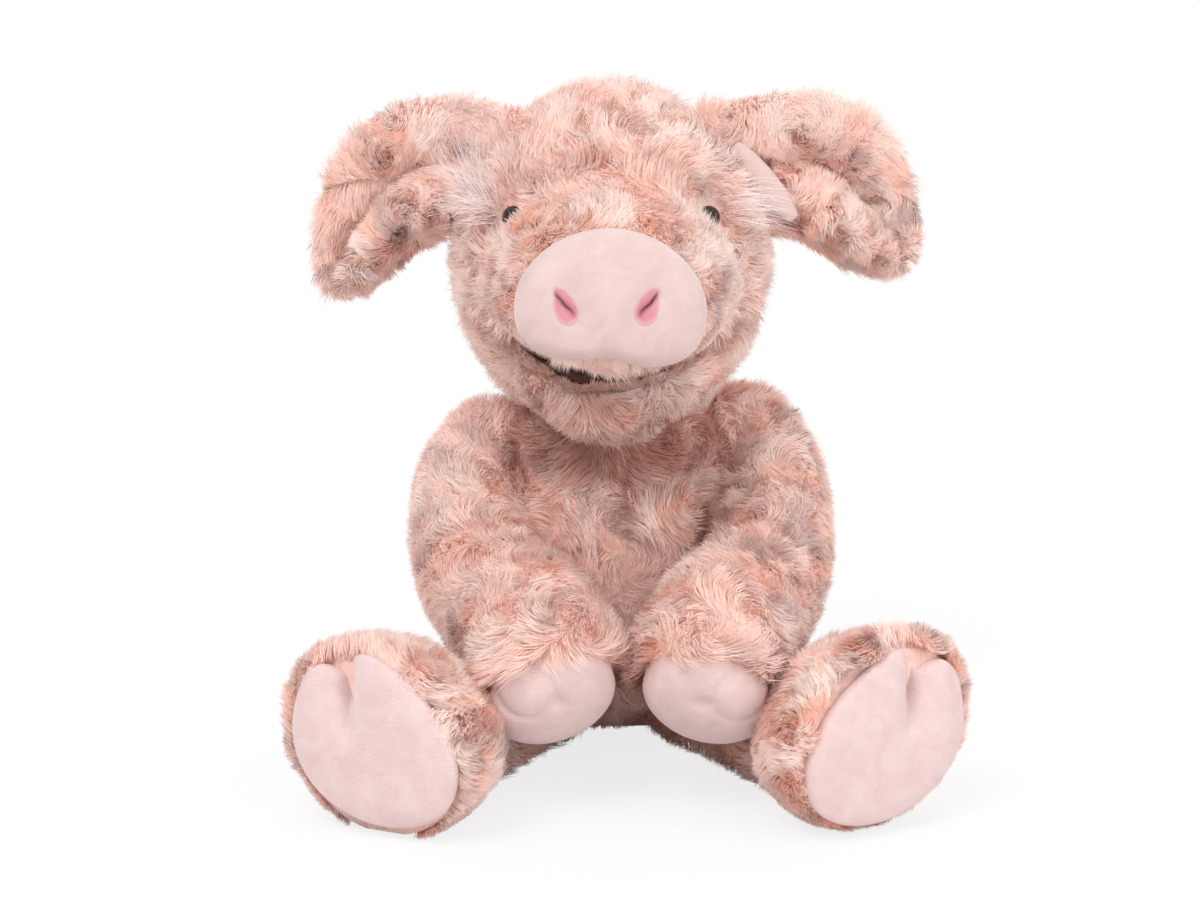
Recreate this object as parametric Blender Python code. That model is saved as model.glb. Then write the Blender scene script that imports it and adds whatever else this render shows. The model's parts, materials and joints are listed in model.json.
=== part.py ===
"""A plush pig that sits on a flat seat, as separate fur covers, stuffings and sewn-on pieces.

Metres, +Z up. The pig faces -Y and its own left side is at +X. The origin is on the floor,
under the middle of the toy. Each moving limb hangs on an empty that lies on its joint's axis.
"""

import math

import bmesh
import bpy
from mathutils import Matrix, Vector

# Fits and cloths
GAP = 0.0003
STUFFING_GAP = 0.0007
FUR_CLOTH = 0.0025
VELOUR_CLOTH = 0.002
FLAT_DEPTH = 0.0005
OVERRUN = 0.004

# Body, a pear that narrows to the neck
BODY_HEIGHT = 0.130
BODY_WIDTH = 0.122
BODY_FRONT = 0.049
BODY_BACK = 0.054
BODY_LEAN = 0.006
BEAN_TOP = 0.022
# height, width, front, back and lean shares from the seat up to the neck
BODY_SHARES = (
    (0.00, 0.72, 0.60, 0.72, 1.00),
    (0.03, 0.86, 0.77, 0.86, 1.00),
    (0.10, 0.96, 0.91, 0.96, 0.95),
    (0.22, 1.00, 1.00, 1.00, 0.85),
    (0.34, 0.95, 0.98, 0.99, 0.65),
    (0.46, 0.86, 0.94, 0.95, 0.40),
    (0.58, 0.77, 0.88, 0.89, 0.10),
    (0.70, 0.71, 0.81, 0.82, -0.25),
    (0.82, 0.68, 0.73, 0.73, -0.65),
    (0.92, 0.63, 0.65, 0.64, -1.05),
    (1.00, 0.50, 0.54, 0.54, -1.33),
)

# Head, an egg with full cheeks
HEAD_HEIGHT = 0.121
HEAD_WIDTH = 0.115
HEAD_FRONT = 0.053
HEAD_BACK = 0.052
HEAD_SIDE = -0.0025
HEAD_AHEAD = 0.011
# height, width, front and back shares from the neck up to the last ring under the crown
HEAD_SHARES = (
    (0.00, 0.52, 0.50, 0.54),
    (0.07, 0.71, 0.70, 0.68),
    (0.15, 0.85, 0.84, 0.80),
    (0.25, 0.955, 0.94, 0.90),
    (0.36, 1.00, 0.99, 0.97),
    (0.47, 1.00, 1.00, 1.00),
    (0.58, 0.965, 0.98, 0.99),
    (0.69, 0.88, 0.92, 0.94),
    (0.79, 0.75, 0.80, 0.83),
    (0.88, 0.56, 0.60, 0.64),
    (0.95, 0.35, 0.38, 0.42),
    (0.985, 0.18, 0.20, 0.22),
)

# Muzzle and snout
SNOUT_WIDTH = 0.068
SNOUT_HEIGHT = 0.051
SNOUT_LIFT = 0.0535
SNOUT_FACE_AHEAD = 0.101
SNOUT_DEPTH = 0.020
SNOUT_TURN = math.radians(2.0)
SNOUT_NOTCH_SHARE = 0.12
SNOUT_NOTCH_TURN = math.radians(15.0)
SNOUT_TAPER_SHARE = 0.06
MUZZLE_RISE = 0.004
# place from inside the head to the snout's back and size shares
MUZZLE_SHARES = ((0.00, 1.16), (0.30, 1.10), (0.65, 0.98), (1.00, 0.90))
NOSTRIL_SPREAD = 0.0145
NOSTRIL_LENGTH = 0.0135
NOSTRIL_WIDTH = 0.0085
NOSTRIL_THICKNESS = 0.0012
NOSTRIL_SINK = 0.0016
NOSTRIL_LEAN = math.radians(18.0)
# depth from the snout's back and size shares
SNOUT_SHARES = (
    (0.00, 0.86),
    (0.10, 0.95),
    (0.30, 1.00),
    (0.55, 0.98),
    (0.75, 0.90),
    (0.90, 0.72),
    (0.975, 0.45),
)

# Lower jaw
JAW_WIDTH = 0.070
JAW_LENGTH = 0.058
JAW_HEIGHT = 0.028
JAW_LIFT = 0.0145
JAW_AHEAD = 0.036
# height and size shares from the jaw's top to its bottom
JAW_SHARES = (
    (0.96, 0.50),
    (0.80, 0.82),
    (0.45, 0.98),
    (0.00, 1.00),
    (-0.45, 0.90),
    (-0.80, 0.64),
    (-0.96, 0.34),
)

# Eyes: a bead with a shank through the cover and a washer behind it
EYE_DIAMETER = 0.0085
EYE_SPREAD = 0.0358
EYE_LIFT = 0.078
EYE_RISE = 0.0036
SHANK_DIAMETER = 0.0030
SHANK_LENGTH = 0.0068
WASHER_DIAMETER = 0.011
WASHER_THICKNESS = 0.0012
EYE_SHARES = ((0.45, 0.95), (0.80, 0.66), (0.95, 0.33))
LASH_LENGTH = 0.008
LASH_RISE = 0.004
LASH_WIDTH = 0.012
LASH_THICKNESS = 0.0015
LASH_SHARES = (0.45, 0.62, 0.80, 1.00)

# Ears, each a fur leaf backed with velour, hinged along its sewn root

EAR_ROOT_LIFT = 0.0925
EAR_ROOT_TILT = math.radians(30.0)
EAR_OUT = 0.047
EAR_DROP = 0.071
EAR_ROOT_THICKNESS = 0.0090
EAR_FUR_THICKNESS = 0.0050
EAR_FOLD = 0.0070
# place along the ear, then drop and out shares of its outer and its inner edge
EAR_EDGE_SHARES = (
    (0.00, -0.324, 0.00, 0.324, 0.00),
    (0.14, -0.26, 0.30, 0.37, 0.05),
    (0.30, -0.17, 0.62, 0.45, 0.12),
    (0.48, 0.02, 0.92, 0.56, 0.18),
    (0.64, 0.30, 1.00, 0.69, 0.24),
    (0.78, 0.56, 0.98, 0.80, 0.31),
    (0.90, 0.80, 0.86, 0.91, 0.41),
    (0.97, 0.94, 0.72, 0.97, 0.52),
)
EAR_TIP_SHARES = (1.00, 0.63)
EAR_ROOT_ANGLES = (math.radians(75.0), math.radians(45.0), math.radians(15.0))
EAR_RIM_SHARE = 0.04
EAR_RIM_POWER = 0.35

# Arms, each turning on a flat round seat at the shoulder
SHOULDER_SIDE = 0.038
SHOULDER_AHEAD = 0.004
SHOULDER_HEIGHT = 0.108
ARM_OUT = 0.0235
ARM_FORWARD = 0.103
ARM_DROP = 0.060
PAW_DIAMETER = 0.051
HOOF_DIAMETER = 0.047
HOOF_DEPTH = 0.017
HOOF_CLEFT_SHARE = 0.22
CLEFT_TURN = math.radians(11.0)
# depth and size shares of the hoof
HOOF_SHARES = ((0.00, 0.90), (0.16, 0.99), (0.38, 1.00), (0.62, 0.90), (0.82, 0.68), (0.95, 0.38))
# out, inward, forward, drop and thickness shares from the shoulder to the wrist
ARM_SHARES = (
    (0.00, 0.00, 0.00, 0.00, 0.63),
    (0.34, 0.00, 0.00, 0.00, 0.63),
    (0.64, 0.00, 0.01, 0.02, 0.65),
    (0.90, 0.00, 0.085, 0.17, 0.74),
    (1.00, 0.04, 0.22, 0.37, 0.77),
    (0.97, 0.17, 0.38, 0.54, 0.79),
    (0.80, 0.38, 0.54, 0.645, 0.82),
    (0.60, 0.60, 0.70, 0.70, 0.88),
    (0.38, 0.80, 0.83, 0.76, 0.95),
    (0.26, 0.93, 0.93, 0.87, 1.00),
    (0.20, 1.00, 1.00, 1.00, 0.94),
)

# Legs, each turning on a ball at the hip, with a foot turned up at its end
HIP_SIDE = 0.036
HIP_AHEAD = 0.020
HIP_BALL_DIAMETER = 0.053
LEG_DIAMETER = 0.041
LEG_LENGTH = 0.084
FOOT_LENGTH = 0.036
FOOT_WIDTH = 0.075
FOOT_HEIGHT = 0.067
SOLE_THICKNESS = 0.004
SOLE_CLEFT_SHARE = 0.26
# depth and size shares of the sole
SOLE_SHARES = ((0.0, 0.97), (0.35, 1.00), (0.65, 0.98), (0.88, 0.84), (1.00, 0.52))
HIP_RIM_ANGLES = (math.radians(36.0), math.radians(62.0), math.radians(90.0))
# place along the leg past the ball and thickness shares
LEG_SHARES = (
    (0.18, 0.98),
    (0.36, 0.91),
    (0.55, 0.87),
    (0.75, 0.90),
    (0.90, 0.97),
    (1.00, 1.00),
)
# place along the foot, width and height shares
FOOT_SHARES = (
    (0.00, 0.62, 0.68),
    (0.10, 0.74, 0.82),
    (0.25, 0.88, 0.94),
    (0.45, 0.98, 1.00),
    (0.68, 1.00, 1.00),
    (0.86, 0.97, 0.98),
    (1.00, 0.91, 0.94),
)

# Tail, a curl of fur on the back
TAIL_HEIGHT = 0.034
TAIL_CURL_DIAMETER = 0.018
TAIL_DIAMETER = 0.0085
TAIL_LENGTH = 0.022
TAIL_TURNS = 1.2
TAIL_STEPS = 16
TAIL_SWELL_SHARE = 0.33
TAIL_TAPER_SHARE = 0.35

# Edges sharper than this stay crisp, and the snout's notch is at the bottom of its outline
CRISP_ANGLE = math.radians(50.0)
BOTTOM_TURN = math.radians(270.0)

# Counts of points round each kind of piece
ROUND_BODY = 28
HALF_BODY = ROUND_BODY // 2
ROUND_LIMB = 16
HALF_LIMB = ROUND_LIMB // 2
ROUND_FOOT = 20
HALF_FOOT = ROUND_FOOT // 2
ROUND_SMALL = 12
ROUND_TAIL = 10
EAR_COLUMNS = 8

# What differs between the pig's two sides as it sits
SIDES = {
    "right": {
        "sign": -1.0,
        "inward": 0.0175,
        "splay": math.radians(25.0),
        "ear_lean": 0.0,
        "cleft": math.radians(126.0),
        "toes": math.radians(64.3),
    },
    "left": {
        "sign": 1.0,
        "inward": 0.0100,
        "splay": math.radians(29.5),
        "ear_lean": math.radians(9.0),
        "cleft": math.radians(54.0),
        "toes": math.radians(77.1),
    },
}

COLOURS = {
    "fur": ((0.62, 0.36, 0.31, 1.0), 0.95, 0.0),
    "velour": ((0.83, 0.63, 0.63, 1.0), 0.85, 0.0),
    "nostril": ((0.73, 0.30, 0.36, 1.0), 0.80, 0.0),
    "stuffing": ((0.86, 0.86, 0.84, 1.0), 1.0, 0.0),
    "bean_bag": ((0.78, 0.76, 0.72, 1.0), 0.9, 0.0),
    "bead": ((0.03, 0.015, 0.012, 1.0), 0.08, 0.0),
    "washer": ((0.85, 0.85, 0.83, 1.0), 0.5, 0.0),
    "lash": ((0.86, 0.76, 0.74, 1.0), 0.9, 0.0),
}

X = Vector((1.0, 0.0, 0.0))
Y = Vector((0.0, 1.0, 0.0))
Z = Vector((0.0, 0.0, 1.0))


def clear_scene():
    """Empty the scene so that the model starts from nothing."""
    for item in list(bpy.data.objects):
        bpy.data.objects.remove(item, do_unlink=True)


def material(name):
    """The named material, made once, with its colour, roughness and metallic value."""
    found = bpy.data.materials.get(name)
    if found:
        return found
    colour, roughness, metallic = COLOURS[name]
    made = bpy.data.materials.new(name)
    made.use_nodes = True
    shader = made.node_tree.nodes["Principled BSDF"]
    shader.inputs["Base Color"].default_value = colour
    shader.inputs["Roughness"].default_value = roughness
    shader.inputs["Metallic"].default_value = metallic
    return made


def pivot(name, place, parent=None):
    """An empty at a place given in the pig's own space."""
    empty = bpy.data.objects.new(name, None)
    bpy.context.collection.objects.link(empty)
    empty["place"] = place
    if parent:
        empty.parent = parent
        empty.location = place - Vector(parent["place"])
    else:
        empty.location = place
    return empty


def add_mesh(name, points, faces, parent, colour):
    """A smooth-shaded object whose points, given in the pig's space, hang on its pivot."""
    mesh = bpy.data.meshes.new(name)
    mesh.from_pydata([tuple(point) for point in points], [], faces)
    work = bmesh.new()
    work.from_mesh(mesh)
    bmesh.ops.recalc_face_normals(work, faces=work.faces)
    work.to_mesh(mesh)
    work.free()
    mesh.transform(Matrix.Translation(-Vector(parent["place"])))
    mesh.shade_smooth()
    mesh.set_sharp_from_angle(angle=CRISP_ANGLE)
    made = bpy.data.objects.new(name, mesh)
    bpy.context.collection.objects.link(made)
    made.parent = parent
    if colour:
        mesh.materials.append(material(colour))
    else:
        made.hide_render = True
        made.display_type = "WIRE"
    return made


def mean(points):
    """The middle of some points."""
    return sum(points, Vector()) / len(points)


def skin(name, rings, parent, colour, start_tip=None, end_tip=None):
    """A closed solid through rings of equal count, each end closed by a fan to its tip."""
    count = len(rings[0])
    points = [point for ring in rings for point in ring]
    faces = []
    for row in range(len(rings) - 1):
        for step in range(count):
            after = (step + 1) % count
            low, high = row * count, (row + 1) * count
            faces.append((low + step, low + after, high + after, high + step))
    ends = ((0, start_tip), ((len(rings) - 1) * count, end_tip))
    for base, tip in ends:
        ring = points[base : base + count]
        points.append(tip if tip is not None else mean(ring))
        last = len(points) - 1
        faces += [(base + step, base + (step + 1) % count, last) for step in range(count)]
    return add_mesh(name, points, faces, parent, colour)


def sleeve(name, outer, inner, parent, colour):
    """A tube of cloth, open at both ends, between its outer and its inner rings."""
    rings = outer + inner[::-1]
    count = len(outer[0])
    points = [point for ring in rings for point in ring]
    faces = []
    for row in range(len(rings)):
        low, high = row * count, ((row + 1) % len(rings)) * count
        for step in range(count):
            after = (step + 1) % count
            faces.append((low + step, low + after, high + after, high + step))
    return add_mesh(name, points, faces, parent, colour)


def cup(name, outer, outer_tip, inner, inner_tip, parent, colour):
    """A bag of cloth, open at its first rings and closed at its tips."""
    rings = inner[::-1] + outer
    return skin(name, rings, parent, colour, start_tip=inner_tip, end_tip=outer_tip)


def oval(centre, across, along, half_across, half_ahead, half_behind, count):
    """Points of an oval whose two halves, ahead of and behind its centre, may differ."""
    points = []
    for step in range(count):
        angle = math.tau * step / count
        reach = half_behind if math.sin(angle) > 0 else half_ahead
        points.append(
            centre + across * half_across * math.cos(angle) + along * reach * math.sin(angle)
        )
    return points


def between(rows, place):
    """The row at a place, with the other values eased smoothly between neighbours."""
    place = min(max(place, rows[0][0]), rows[-1][0])
    low = 0
    while low < len(rows) - 2 and place > rows[low + 1][0]:
        low += 1
    near, far = rows[low], rows[low + 1]
    before, beyond = rows[max(low - 1, 0)], rows[min(low + 2, len(rows) - 1)]
    span = far[0] - near[0]
    part = (place - near[0]) / span
    values = []
    for index in range(1, len(near)):
        start = (far[index] - before[index]) / (far[0] - before[0]) * span
        finish = (beyond[index] - near[index]) / (beyond[0] - near[0]) * span
        square, cube = part * part, part**3
        values.append(
            near[index] * (2 * cube - 3 * square + 1)
            + start * (cube - 2 * square + part)
            + far[index] * (3 * square - 2 * cube)
            + finish * (cube - square)
        )
    return values


def cut(target, *cutters):
    """Takes each cutter's volume out of the target."""
    for cutter in cutters:
        change = target.modifiers.new("cut_" + cutter.name, "BOOLEAN")
        change.operation = "DIFFERENCE"
        change.solver = "EXACT"
        change.object = cutter


def ball(name, centre, radius, parent):
    """A round cutter."""
    rows = ROUND_SMALL
    rings = [
        oval(
            centre + Z * radius * math.cos(math.pi * row / rows),
            X,
            Y,
            radius * math.sin(math.pi * row / rows),
            radius * math.sin(math.pi * row / rows),
            radius * math.sin(math.pi * row / rows),
            ROUND_BODY,
        )
        for row in range(1, rows)
    ]
    return skin(name, rings, parent, None, centre + Z * radius, centre - Z * radius)


def rod(name, start, end, radius, parent, colour=None, count=ROUND_SMALL):
    """A straight round bar from one point to another."""
    along = (end - start).normalized()
    across = along.orthogonal().normalized()
    third = along.cross(across)
    rings = [oval(place, across, third, radius, radius, radius, count) for place in (start, end)]
    return skin(name, rings, parent, colour)


def floor_cutter(root):
    """The floor, which presses soft bottoms flat."""
    reach = EAR_OUT + LEG_LENGTH + FOOT_LENGTH + BODY_WIDTH
    ring = [
        X * reach - Y * reach,
        X * reach + Y * reach,
        -X * reach + Y * reach,
        -X * reach - Y * reach,
    ]
    rings = [[point - Z * depth for point in ring] for depth in (0.0, BODY_BACK)]
    return skin("floor_cutter", rings, root, None)


def body_heights():
    """The heights of the body's rings, from the neck down to the seat."""
    span = BODY_HEIGHT + FLAT_DEPTH
    return [row[0] * span - FLAT_DEPTH for row in BODY_SHARES][::-1]


def body_ring(height, inset, count):
    """The body's outline at a height, drawn in by a cloth or a clearance."""
    place = (height + FLAT_DEPTH) / (BODY_HEIGHT + FLAT_DEPTH)
    width, front, back, lean = between(BODY_SHARES, place)
    centre = Y * BODY_LEAN * lean + Z * height
    return oval(
        centre,
        X,
        Y,
        BODY_WIDTH / 2 * width - inset,
        BODY_FRONT * front - inset,
        BODY_BACK * back - inset,
        count,
    )


def build_body(root, floor):
    """The fur bag of the body, its stuffing and the pouch of beans it sits on."""
    heights = body_heights()
    outer = [body_ring(height, 0.0, ROUND_BODY) for height in heights]
    inset = FUR_CLOTH + STUFFING_GAP
    clear = [height for height in heights if height > 2 * FUR_CLOTH]
    inner = [body_ring(height, FUR_CLOTH, ROUND_BODY) for height in clear + [FUR_CLOTH]]
    cover = cup("body_cover", outer, None, inner, None, root, "fur")
    upper = [height for height in clear if height > BEAN_TOP + GAP] + [BEAN_TOP + GAP]
    lower = [BEAN_TOP] + [height for height in clear if height < BEAN_TOP] + [inset]
    stuffing = skin(
        "body_stuffing", [body_ring(height, inset, HALF_BODY) for height in upper], root, "stuffing"
    )
    beans = skin(
        "bean_bag", [body_ring(height, inset, HALF_BODY) for height in lower], root, "bean_bag"
    )
    cut(cover, floor)
    return cover, stuffing, beans


def head_ring(height, inset, count):
    """The head's outline at a height above the neck seam."""
    width, front, back = between(HEAD_SHARES, height / HEAD_HEIGHT)
    centre = X * HEAD_SIDE - Y * HEAD_AHEAD + Z * (BODY_HEIGHT + GAP + height)
    return oval(
        centre,
        X,
        Y,
        HEAD_WIDTH / 2 * width - inset,
        HEAD_FRONT * front - inset,
        HEAD_BACK * back - inset,
        count,
    )


def head_point(side, lift):
    """The point on the front of the head at a side offset and a lift above the neck seam."""
    width, front, _ = between(HEAD_SHARES, lift / HEAD_HEIGHT)
    share = side / (HEAD_WIDTH / 2 * width)
    ahead = HEAD_FRONT * front * math.sqrt(max(1 - share * share, 0.0))
    return Vector((HEAD_SIDE + side, -HEAD_AHEAD - ahead, BODY_HEIGHT + GAP + lift))


def head_normal(side, lift):
    """The outward direction at a point on the front of the head."""
    step = GAP
    across = head_point(side + step, lift) - head_point(side - step, lift)
    upward = head_point(side, lift + step) - head_point(side, lift - step)
    return across.cross(upward).normalized()


def head_rings(inset, drop, count):
    """Rings from the neck seam to the crown, drawn in by inset and lowered towards the crown."""
    rings = []
    for share in HEAD_SHARES:
        if HEAD_WIDTH / 2 * share[1] > 2 * inset + FUR_CLOTH:
            height = share[0] * HEAD_HEIGHT
            ring = head_ring(height, inset, count)
            rings.append([point - Z * drop * share[0] for point in ring])
    return rings


def build_head(neck):
    """The fur bag of the head, open at the neck, and its stuffing."""
    crown = X * HEAD_SIDE - Y * HEAD_AHEAD + Z * (BODY_HEIGHT + GAP + HEAD_HEIGHT)
    cover = cup(
        "head_cover",
        head_rings(0.0, 0.0, ROUND_BODY),
        crown,
        head_rings(FUR_CLOTH, FUR_CLOTH, ROUND_BODY),
        crown - Z * FUR_CLOTH,
        neck,
        "fur",
    )
    inset = FUR_CLOTH + STUFFING_GAP
    stuffing = skin(
        "head_stuffing",
        head_rings(inset, inset, HALF_BODY),
        neck,
        "stuffing",
        None,
        crown - Z * inset,
    )
    solid = skin(
        "head_clearance",
        head_rings(-GAP, -GAP, ROUND_BODY),
        neck,
        None,
        None,
        crown + Z * GAP,
    )
    return cover, stuffing, solid


def snout_outline(size, count):
    """Side and lift of the snout's heart-like outline, with its notch at the bottom."""
    points = []
    for step in range(count):
        angle = math.tau * step / count
        below = (angle - BOTTOM_TURN) / SNOUT_NOTCH_TURN
        reach = (1.0 - SNOUT_NOTCH_SHARE * math.exp(-below * below)) * size
        taper = 1.0 - SNOUT_TAPER_SHARE * math.sin(angle)
        side = SNOUT_WIDTH / 2 * math.cos(angle) * reach * taper
        lift = SNOUT_HEIGHT / 2 * math.sin(angle) * reach
        points.append((side, lift))
    return points


def snout_ring(ahead, size, rise=0.0):
    """The snout's outline, at a distance ahead of the body's middle."""
    turn = Matrix.Rotation(SNOUT_TURN, 3, "Y")
    centre = X * HEAD_SIDE - Y * ahead + Z * (BODY_HEIGHT + SNOUT_LIFT + rise)
    outline = snout_outline(size, ROUND_BODY)
    return [centre + turn @ (X * side + Z * lift) for side, lift in outline]


def nostril_ring(centre, turn, deep, spare):
    """A nostril's leaning oval, at a depth behind its seat and widened by a spare."""
    flat = Vector((centre.x, NOSTRIL_SINK - SNOUT_FACE_AHEAD + deep, centre.z))
    half_width, half_length = NOSTRIL_WIDTH / 2 + spare, NOSTRIL_LENGTH / 2 + spare
    ring = oval(flat, X, Z, half_width, half_length, half_length, ROUND_LIMB)
    return [flat + turn @ (point - flat) for point in ring]


def build_snout(neck, head_solid):
    """The fur muzzle, the velour snout with its two nostrils, and the lower jaw."""
    back = SNOUT_FACE_AHEAD - SNOUT_DEPTH
    inside = HEAD_AHEAD + HEAD_FRONT / 2
    muzzle_rings = [
        snout_ring(inside + (back - GAP - inside) * place, size, MUZZLE_RISE * (1.0 - place))
        for place, size in MUZZLE_SHARES
    ]
    muzzle = skin("muzzle", muzzle_rings, neck, "fur")
    cut(muzzle, head_solid)
    rings = [snout_ring(back + SNOUT_DEPTH * depth, size) for depth, size in SNOUT_SHARES]
    tip = mean(snout_ring(SNOUT_FACE_AHEAD, 1.0))
    snout = skin("snout", rings, neck, "velour", None, tip)
    for name, data in SIDES.items():
        sign = data["sign"]
        turn = Matrix.Rotation(sign * NOSTRIL_LEAN, 3, "Y")
        centre = Vector((HEAD_SIDE + sign * NOSTRIL_SPREAD, tip.y, tip.z))
        seat = [
            nostril_ring(centre, turn, deep, GAP)
            for deep in (-SNOUT_DEPTH, NOSTRIL_THICKNESS + GAP)
        ]
        cut(snout, skin("nostril_seat_" + name, seat, neck, None))
        patch = [
            nostril_ring(centre, turn, deep, 0.0)
            for deep in (GAP - NOSTRIL_THICKNESS, NOSTRIL_THICKNESS)
        ]
        skin("nostril_" + name, patch, neck, "nostril")


def build_jaw(neck, head_solid):
    """The small stuffed lower jaw under the mouth."""
    centre = X * HEAD_SIDE - Y * JAW_AHEAD + Z * (BODY_HEIGHT + JAW_LIFT)
    rings = []
    for height, size in JAW_SHARES:
        across, along = JAW_WIDTH / 2 * size, JAW_LENGTH / 2 * size
        place = centre + Z * JAW_HEIGHT / 2 * height
        rings.append(oval(place, X, Y, across, along, along, ROUND_FOOT))
    jaw = skin(
        "lower_jaw",
        rings,
        neck,
        "fur",
        centre + Z * JAW_HEIGHT / 2,
        centre - Z * JAW_HEIGHT / 2,
    )
    cut(jaw, head_solid)


def build_eye(name, sign, neck, cover, stuffing):
    """A bead with its shank through the cover, held by a washer against the cloth's inside."""
    side = sign * EYE_SPREAD
    surface = head_point(side, EYE_LIFT)
    out = head_normal(side, EYE_LIFT)
    across = out.orthogonal().normalized()
    third = out.cross(across)
    rows = [
        (-SHANK_LENGTH, SHANK_DIAMETER / 2),
        (GAP, SHANK_DIAMETER / 2),
        (GAP, EYE_DIAMETER / 2),
    ]
    rows += [(EYE_RISE * rise, EYE_DIAMETER / 2 * size) for rise, size in EYE_SHARES]
    rings = [
        oval(surface + out * rise, across, third, radius, radius, radius, ROUND_LIMB)
        for rise, radius in rows
    ]
    skin("eye_" + name, rings, neck, "bead", None, surface + out * EYE_RISE)
    inside = FUR_CLOTH + 2 * GAP
    bore = SHANK_DIAMETER / 2 + GAP
    far = inside + WASHER_THICKNESS
    edges = []
    for radius in (WASHER_DIAMETER / 2, bore):
        places = (surface - out * inside, surface - out * far)
        edges.append(
            [oval(place, across, third, radius, radius, radius, ROUND_LIMB) for place in places]
        )
    sleeve("eye_washer_" + name, edges[0], edges[1], neck, "washer")
    hole = rod(
        "eye_hole_" + name, surface - out * SHANK_LENGTH, surface + out * OVERRUN, bore, neck
    )
    room = rod(
        "eye_room_" + name,
        surface - out * (SHANK_LENGTH + GAP),
        surface + out * OVERRUN,
        WASHER_DIAMETER / 2 + GAP,
        neck,
    )
    pocket = rod(
        "eye_pocket_" + name,
        surface - out * (far + OVERRUN),
        surface - out * (inside - GAP),
        WASHER_DIAMETER / 2 + GAP,
        neck,
    )
    cut(cover, hole, pocket)
    cut(stuffing, room)


def build_lash(name, sign, neck):
    """The tuft of long pale hair sewn beside an eye."""
    rings = []
    last = len(LASH_SHARES) - 1
    for step, size in enumerate(LASH_SHARES):
        half = LASH_WIDTH / 2 * size
        side = sign * (EYE_SPREAD + EYE_DIAMETER / 2 + LASH_LENGTH * step / last)
        lift = EYE_LIFT + LASH_RISE * step / last
        ring = []
        for layer, order in ((2 * STUFFING_GAP, 1), (2 * STUFFING_GAP + LASH_THICKNESS, -1)):
            for part in (-1, 0, 1)[::order]:
                height = lift + part * half
                ring.append(head_point(side, height) + head_normal(side, height) * layer)
        rings.append(ring)
    skin("lash_tuft_" + name, rings, neck, "lash")


def ear_frame(sign):
    """The middle of an ear's sewn root, the way down along it and the way out from the head."""
    width, _, _ = between(HEAD_SHARES, EAR_ROOT_LIFT / HEAD_HEIGHT)
    middle = Vector(
        (
            HEAD_SIDE + sign * (HEAD_WIDTH / 2 * width),
            -HEAD_AHEAD,
            BODY_HEIGHT + GAP + EAR_ROOT_LIFT,
        )
    )
    tilt = EAR_ROOT_TILT
    down = Vector((sign * math.sin(tilt), 0.0, -math.cos(tilt)))
    out = Vector((sign * math.cos(tilt), 0.0, math.sin(tilt)))
    return middle, down, out


def ear_ring(frame, share, near, far, sign, lean):
    """One closed line round the ear's leaf, between two depths behind its front face."""
    middle, down, out = frame
    outer_drop, outer_out, inner_drop, inner_out = between(EAR_EDGE_SHARES, share)
    ring = []
    turn = lean * share
    for depth, order in ((near, 1), (far, -1)):
        for column in range(EAR_COLUMNS + 1)[::order]:
            part = column / EAR_COLUMNS
            fall = EAR_DROP * (outer_drop + (inner_drop - outer_drop) * part)
            reach = EAR_OUT * (outer_out + (inner_out - outer_out) * part)
            fall, reach = (
                fall * math.cos(turn) - reach * math.sin(turn),
                reach * math.cos(turn) + fall * math.sin(turn),
            )
            inner_part = min(max(part, EAR_RIM_SHARE), 1.0 - EAR_RIM_SHARE)
            round_edge = math.sin(math.pi * inner_part) ** EAR_RIM_POWER
            fold = EAR_FOLD * math.sin(share * math.pi) * math.cos(math.tau * part)
            middle_depth = (near + far) / 2
            half = (depth - middle_depth) * round_edge
            ring.append(middle + down * fall + out * reach + Y * (middle_depth + half - fold))
    return ring


def build_ear(name, data, neck, cover, stuffing):
    """A fur leaf on a round root that lies in a slit of the head, backed by velour."""
    sign, lean = data["sign"], data["ear_lean"]
    frame = ear_frame(sign)
    middle, down, out = frame
    hinge = pivot("ear_" + name, middle, neck)
    half_root = EAR_ROOT_THICKNESS / 2
    root_span = EAR_DROP * EAR_EDGE_SHARES[0][3]
    rings = []
    for angle in EAR_ROOT_ANGLES:
        deep = half_root * math.cos(angle)
        ring = []
        for depth, order in ((-deep, 1), (deep, -1)):
            for column in range(EAR_COLUMNS + 1)[::order]:
                fall = root_span * (2 * column / EAR_COLUMNS - 1)
                ring.append(middle + down * fall - out * half_root * math.sin(angle) + Y * depth)
        rings.append(ring)
    front, back = -EAR_FUR_THICKNESS / 2, EAR_FUR_THICKNESS / 2
    for row in EAR_EDGE_SHARES:
        rings.append(ear_ring(frame, row[0], front, back, sign, lean))
    tip_drop, tip_out = (EAR_DROP * EAR_TIP_SHARES[0], EAR_OUT * EAR_TIP_SHARES[1])
    tip = (
        middle
        + down * (tip_drop * math.cos(lean) - tip_out * math.sin(lean))
        + out * (tip_out * math.cos(lean) + tip_drop * math.sin(lean))
    )
    skin("ear_" + name + "_fur", rings, hinge, "fur", None, tip)
    near = back + STUFFING_GAP
    lining = [
        ear_ring(frame, row[0], near, near + VELOUR_CLOTH, sign, lean)
        for row in EAR_EDGE_SHARES[1:-1]
    ]
    skin("ear_" + name + "_lining", lining, hinge, "velour")
    slit = rod(
        "ear_slit_" + name,
        middle - down * (root_span + GAP),
        middle + down * (root_span + GAP),
        half_root / math.cos(math.pi / ROUND_SMALL) + GAP,
        neck,
    )
    cut(cover, slit)
    cut(stuffing, slit)


def arm_centre(shares, data):
    """A point on the arm's middle line, from its out, inward, forward and drop shares."""
    out, inward, forward, drop = shares
    side = SHOULDER_SIDE + GAP + ARM_OUT * out - data["inward"] * inward
    return Vector(
        (
            data["sign"] * side,
            -SHOULDER_AHEAD - ARM_FORWARD * forward,
            SHOULDER_HEIGHT - ARM_DROP * drop,
        )
    )


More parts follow.
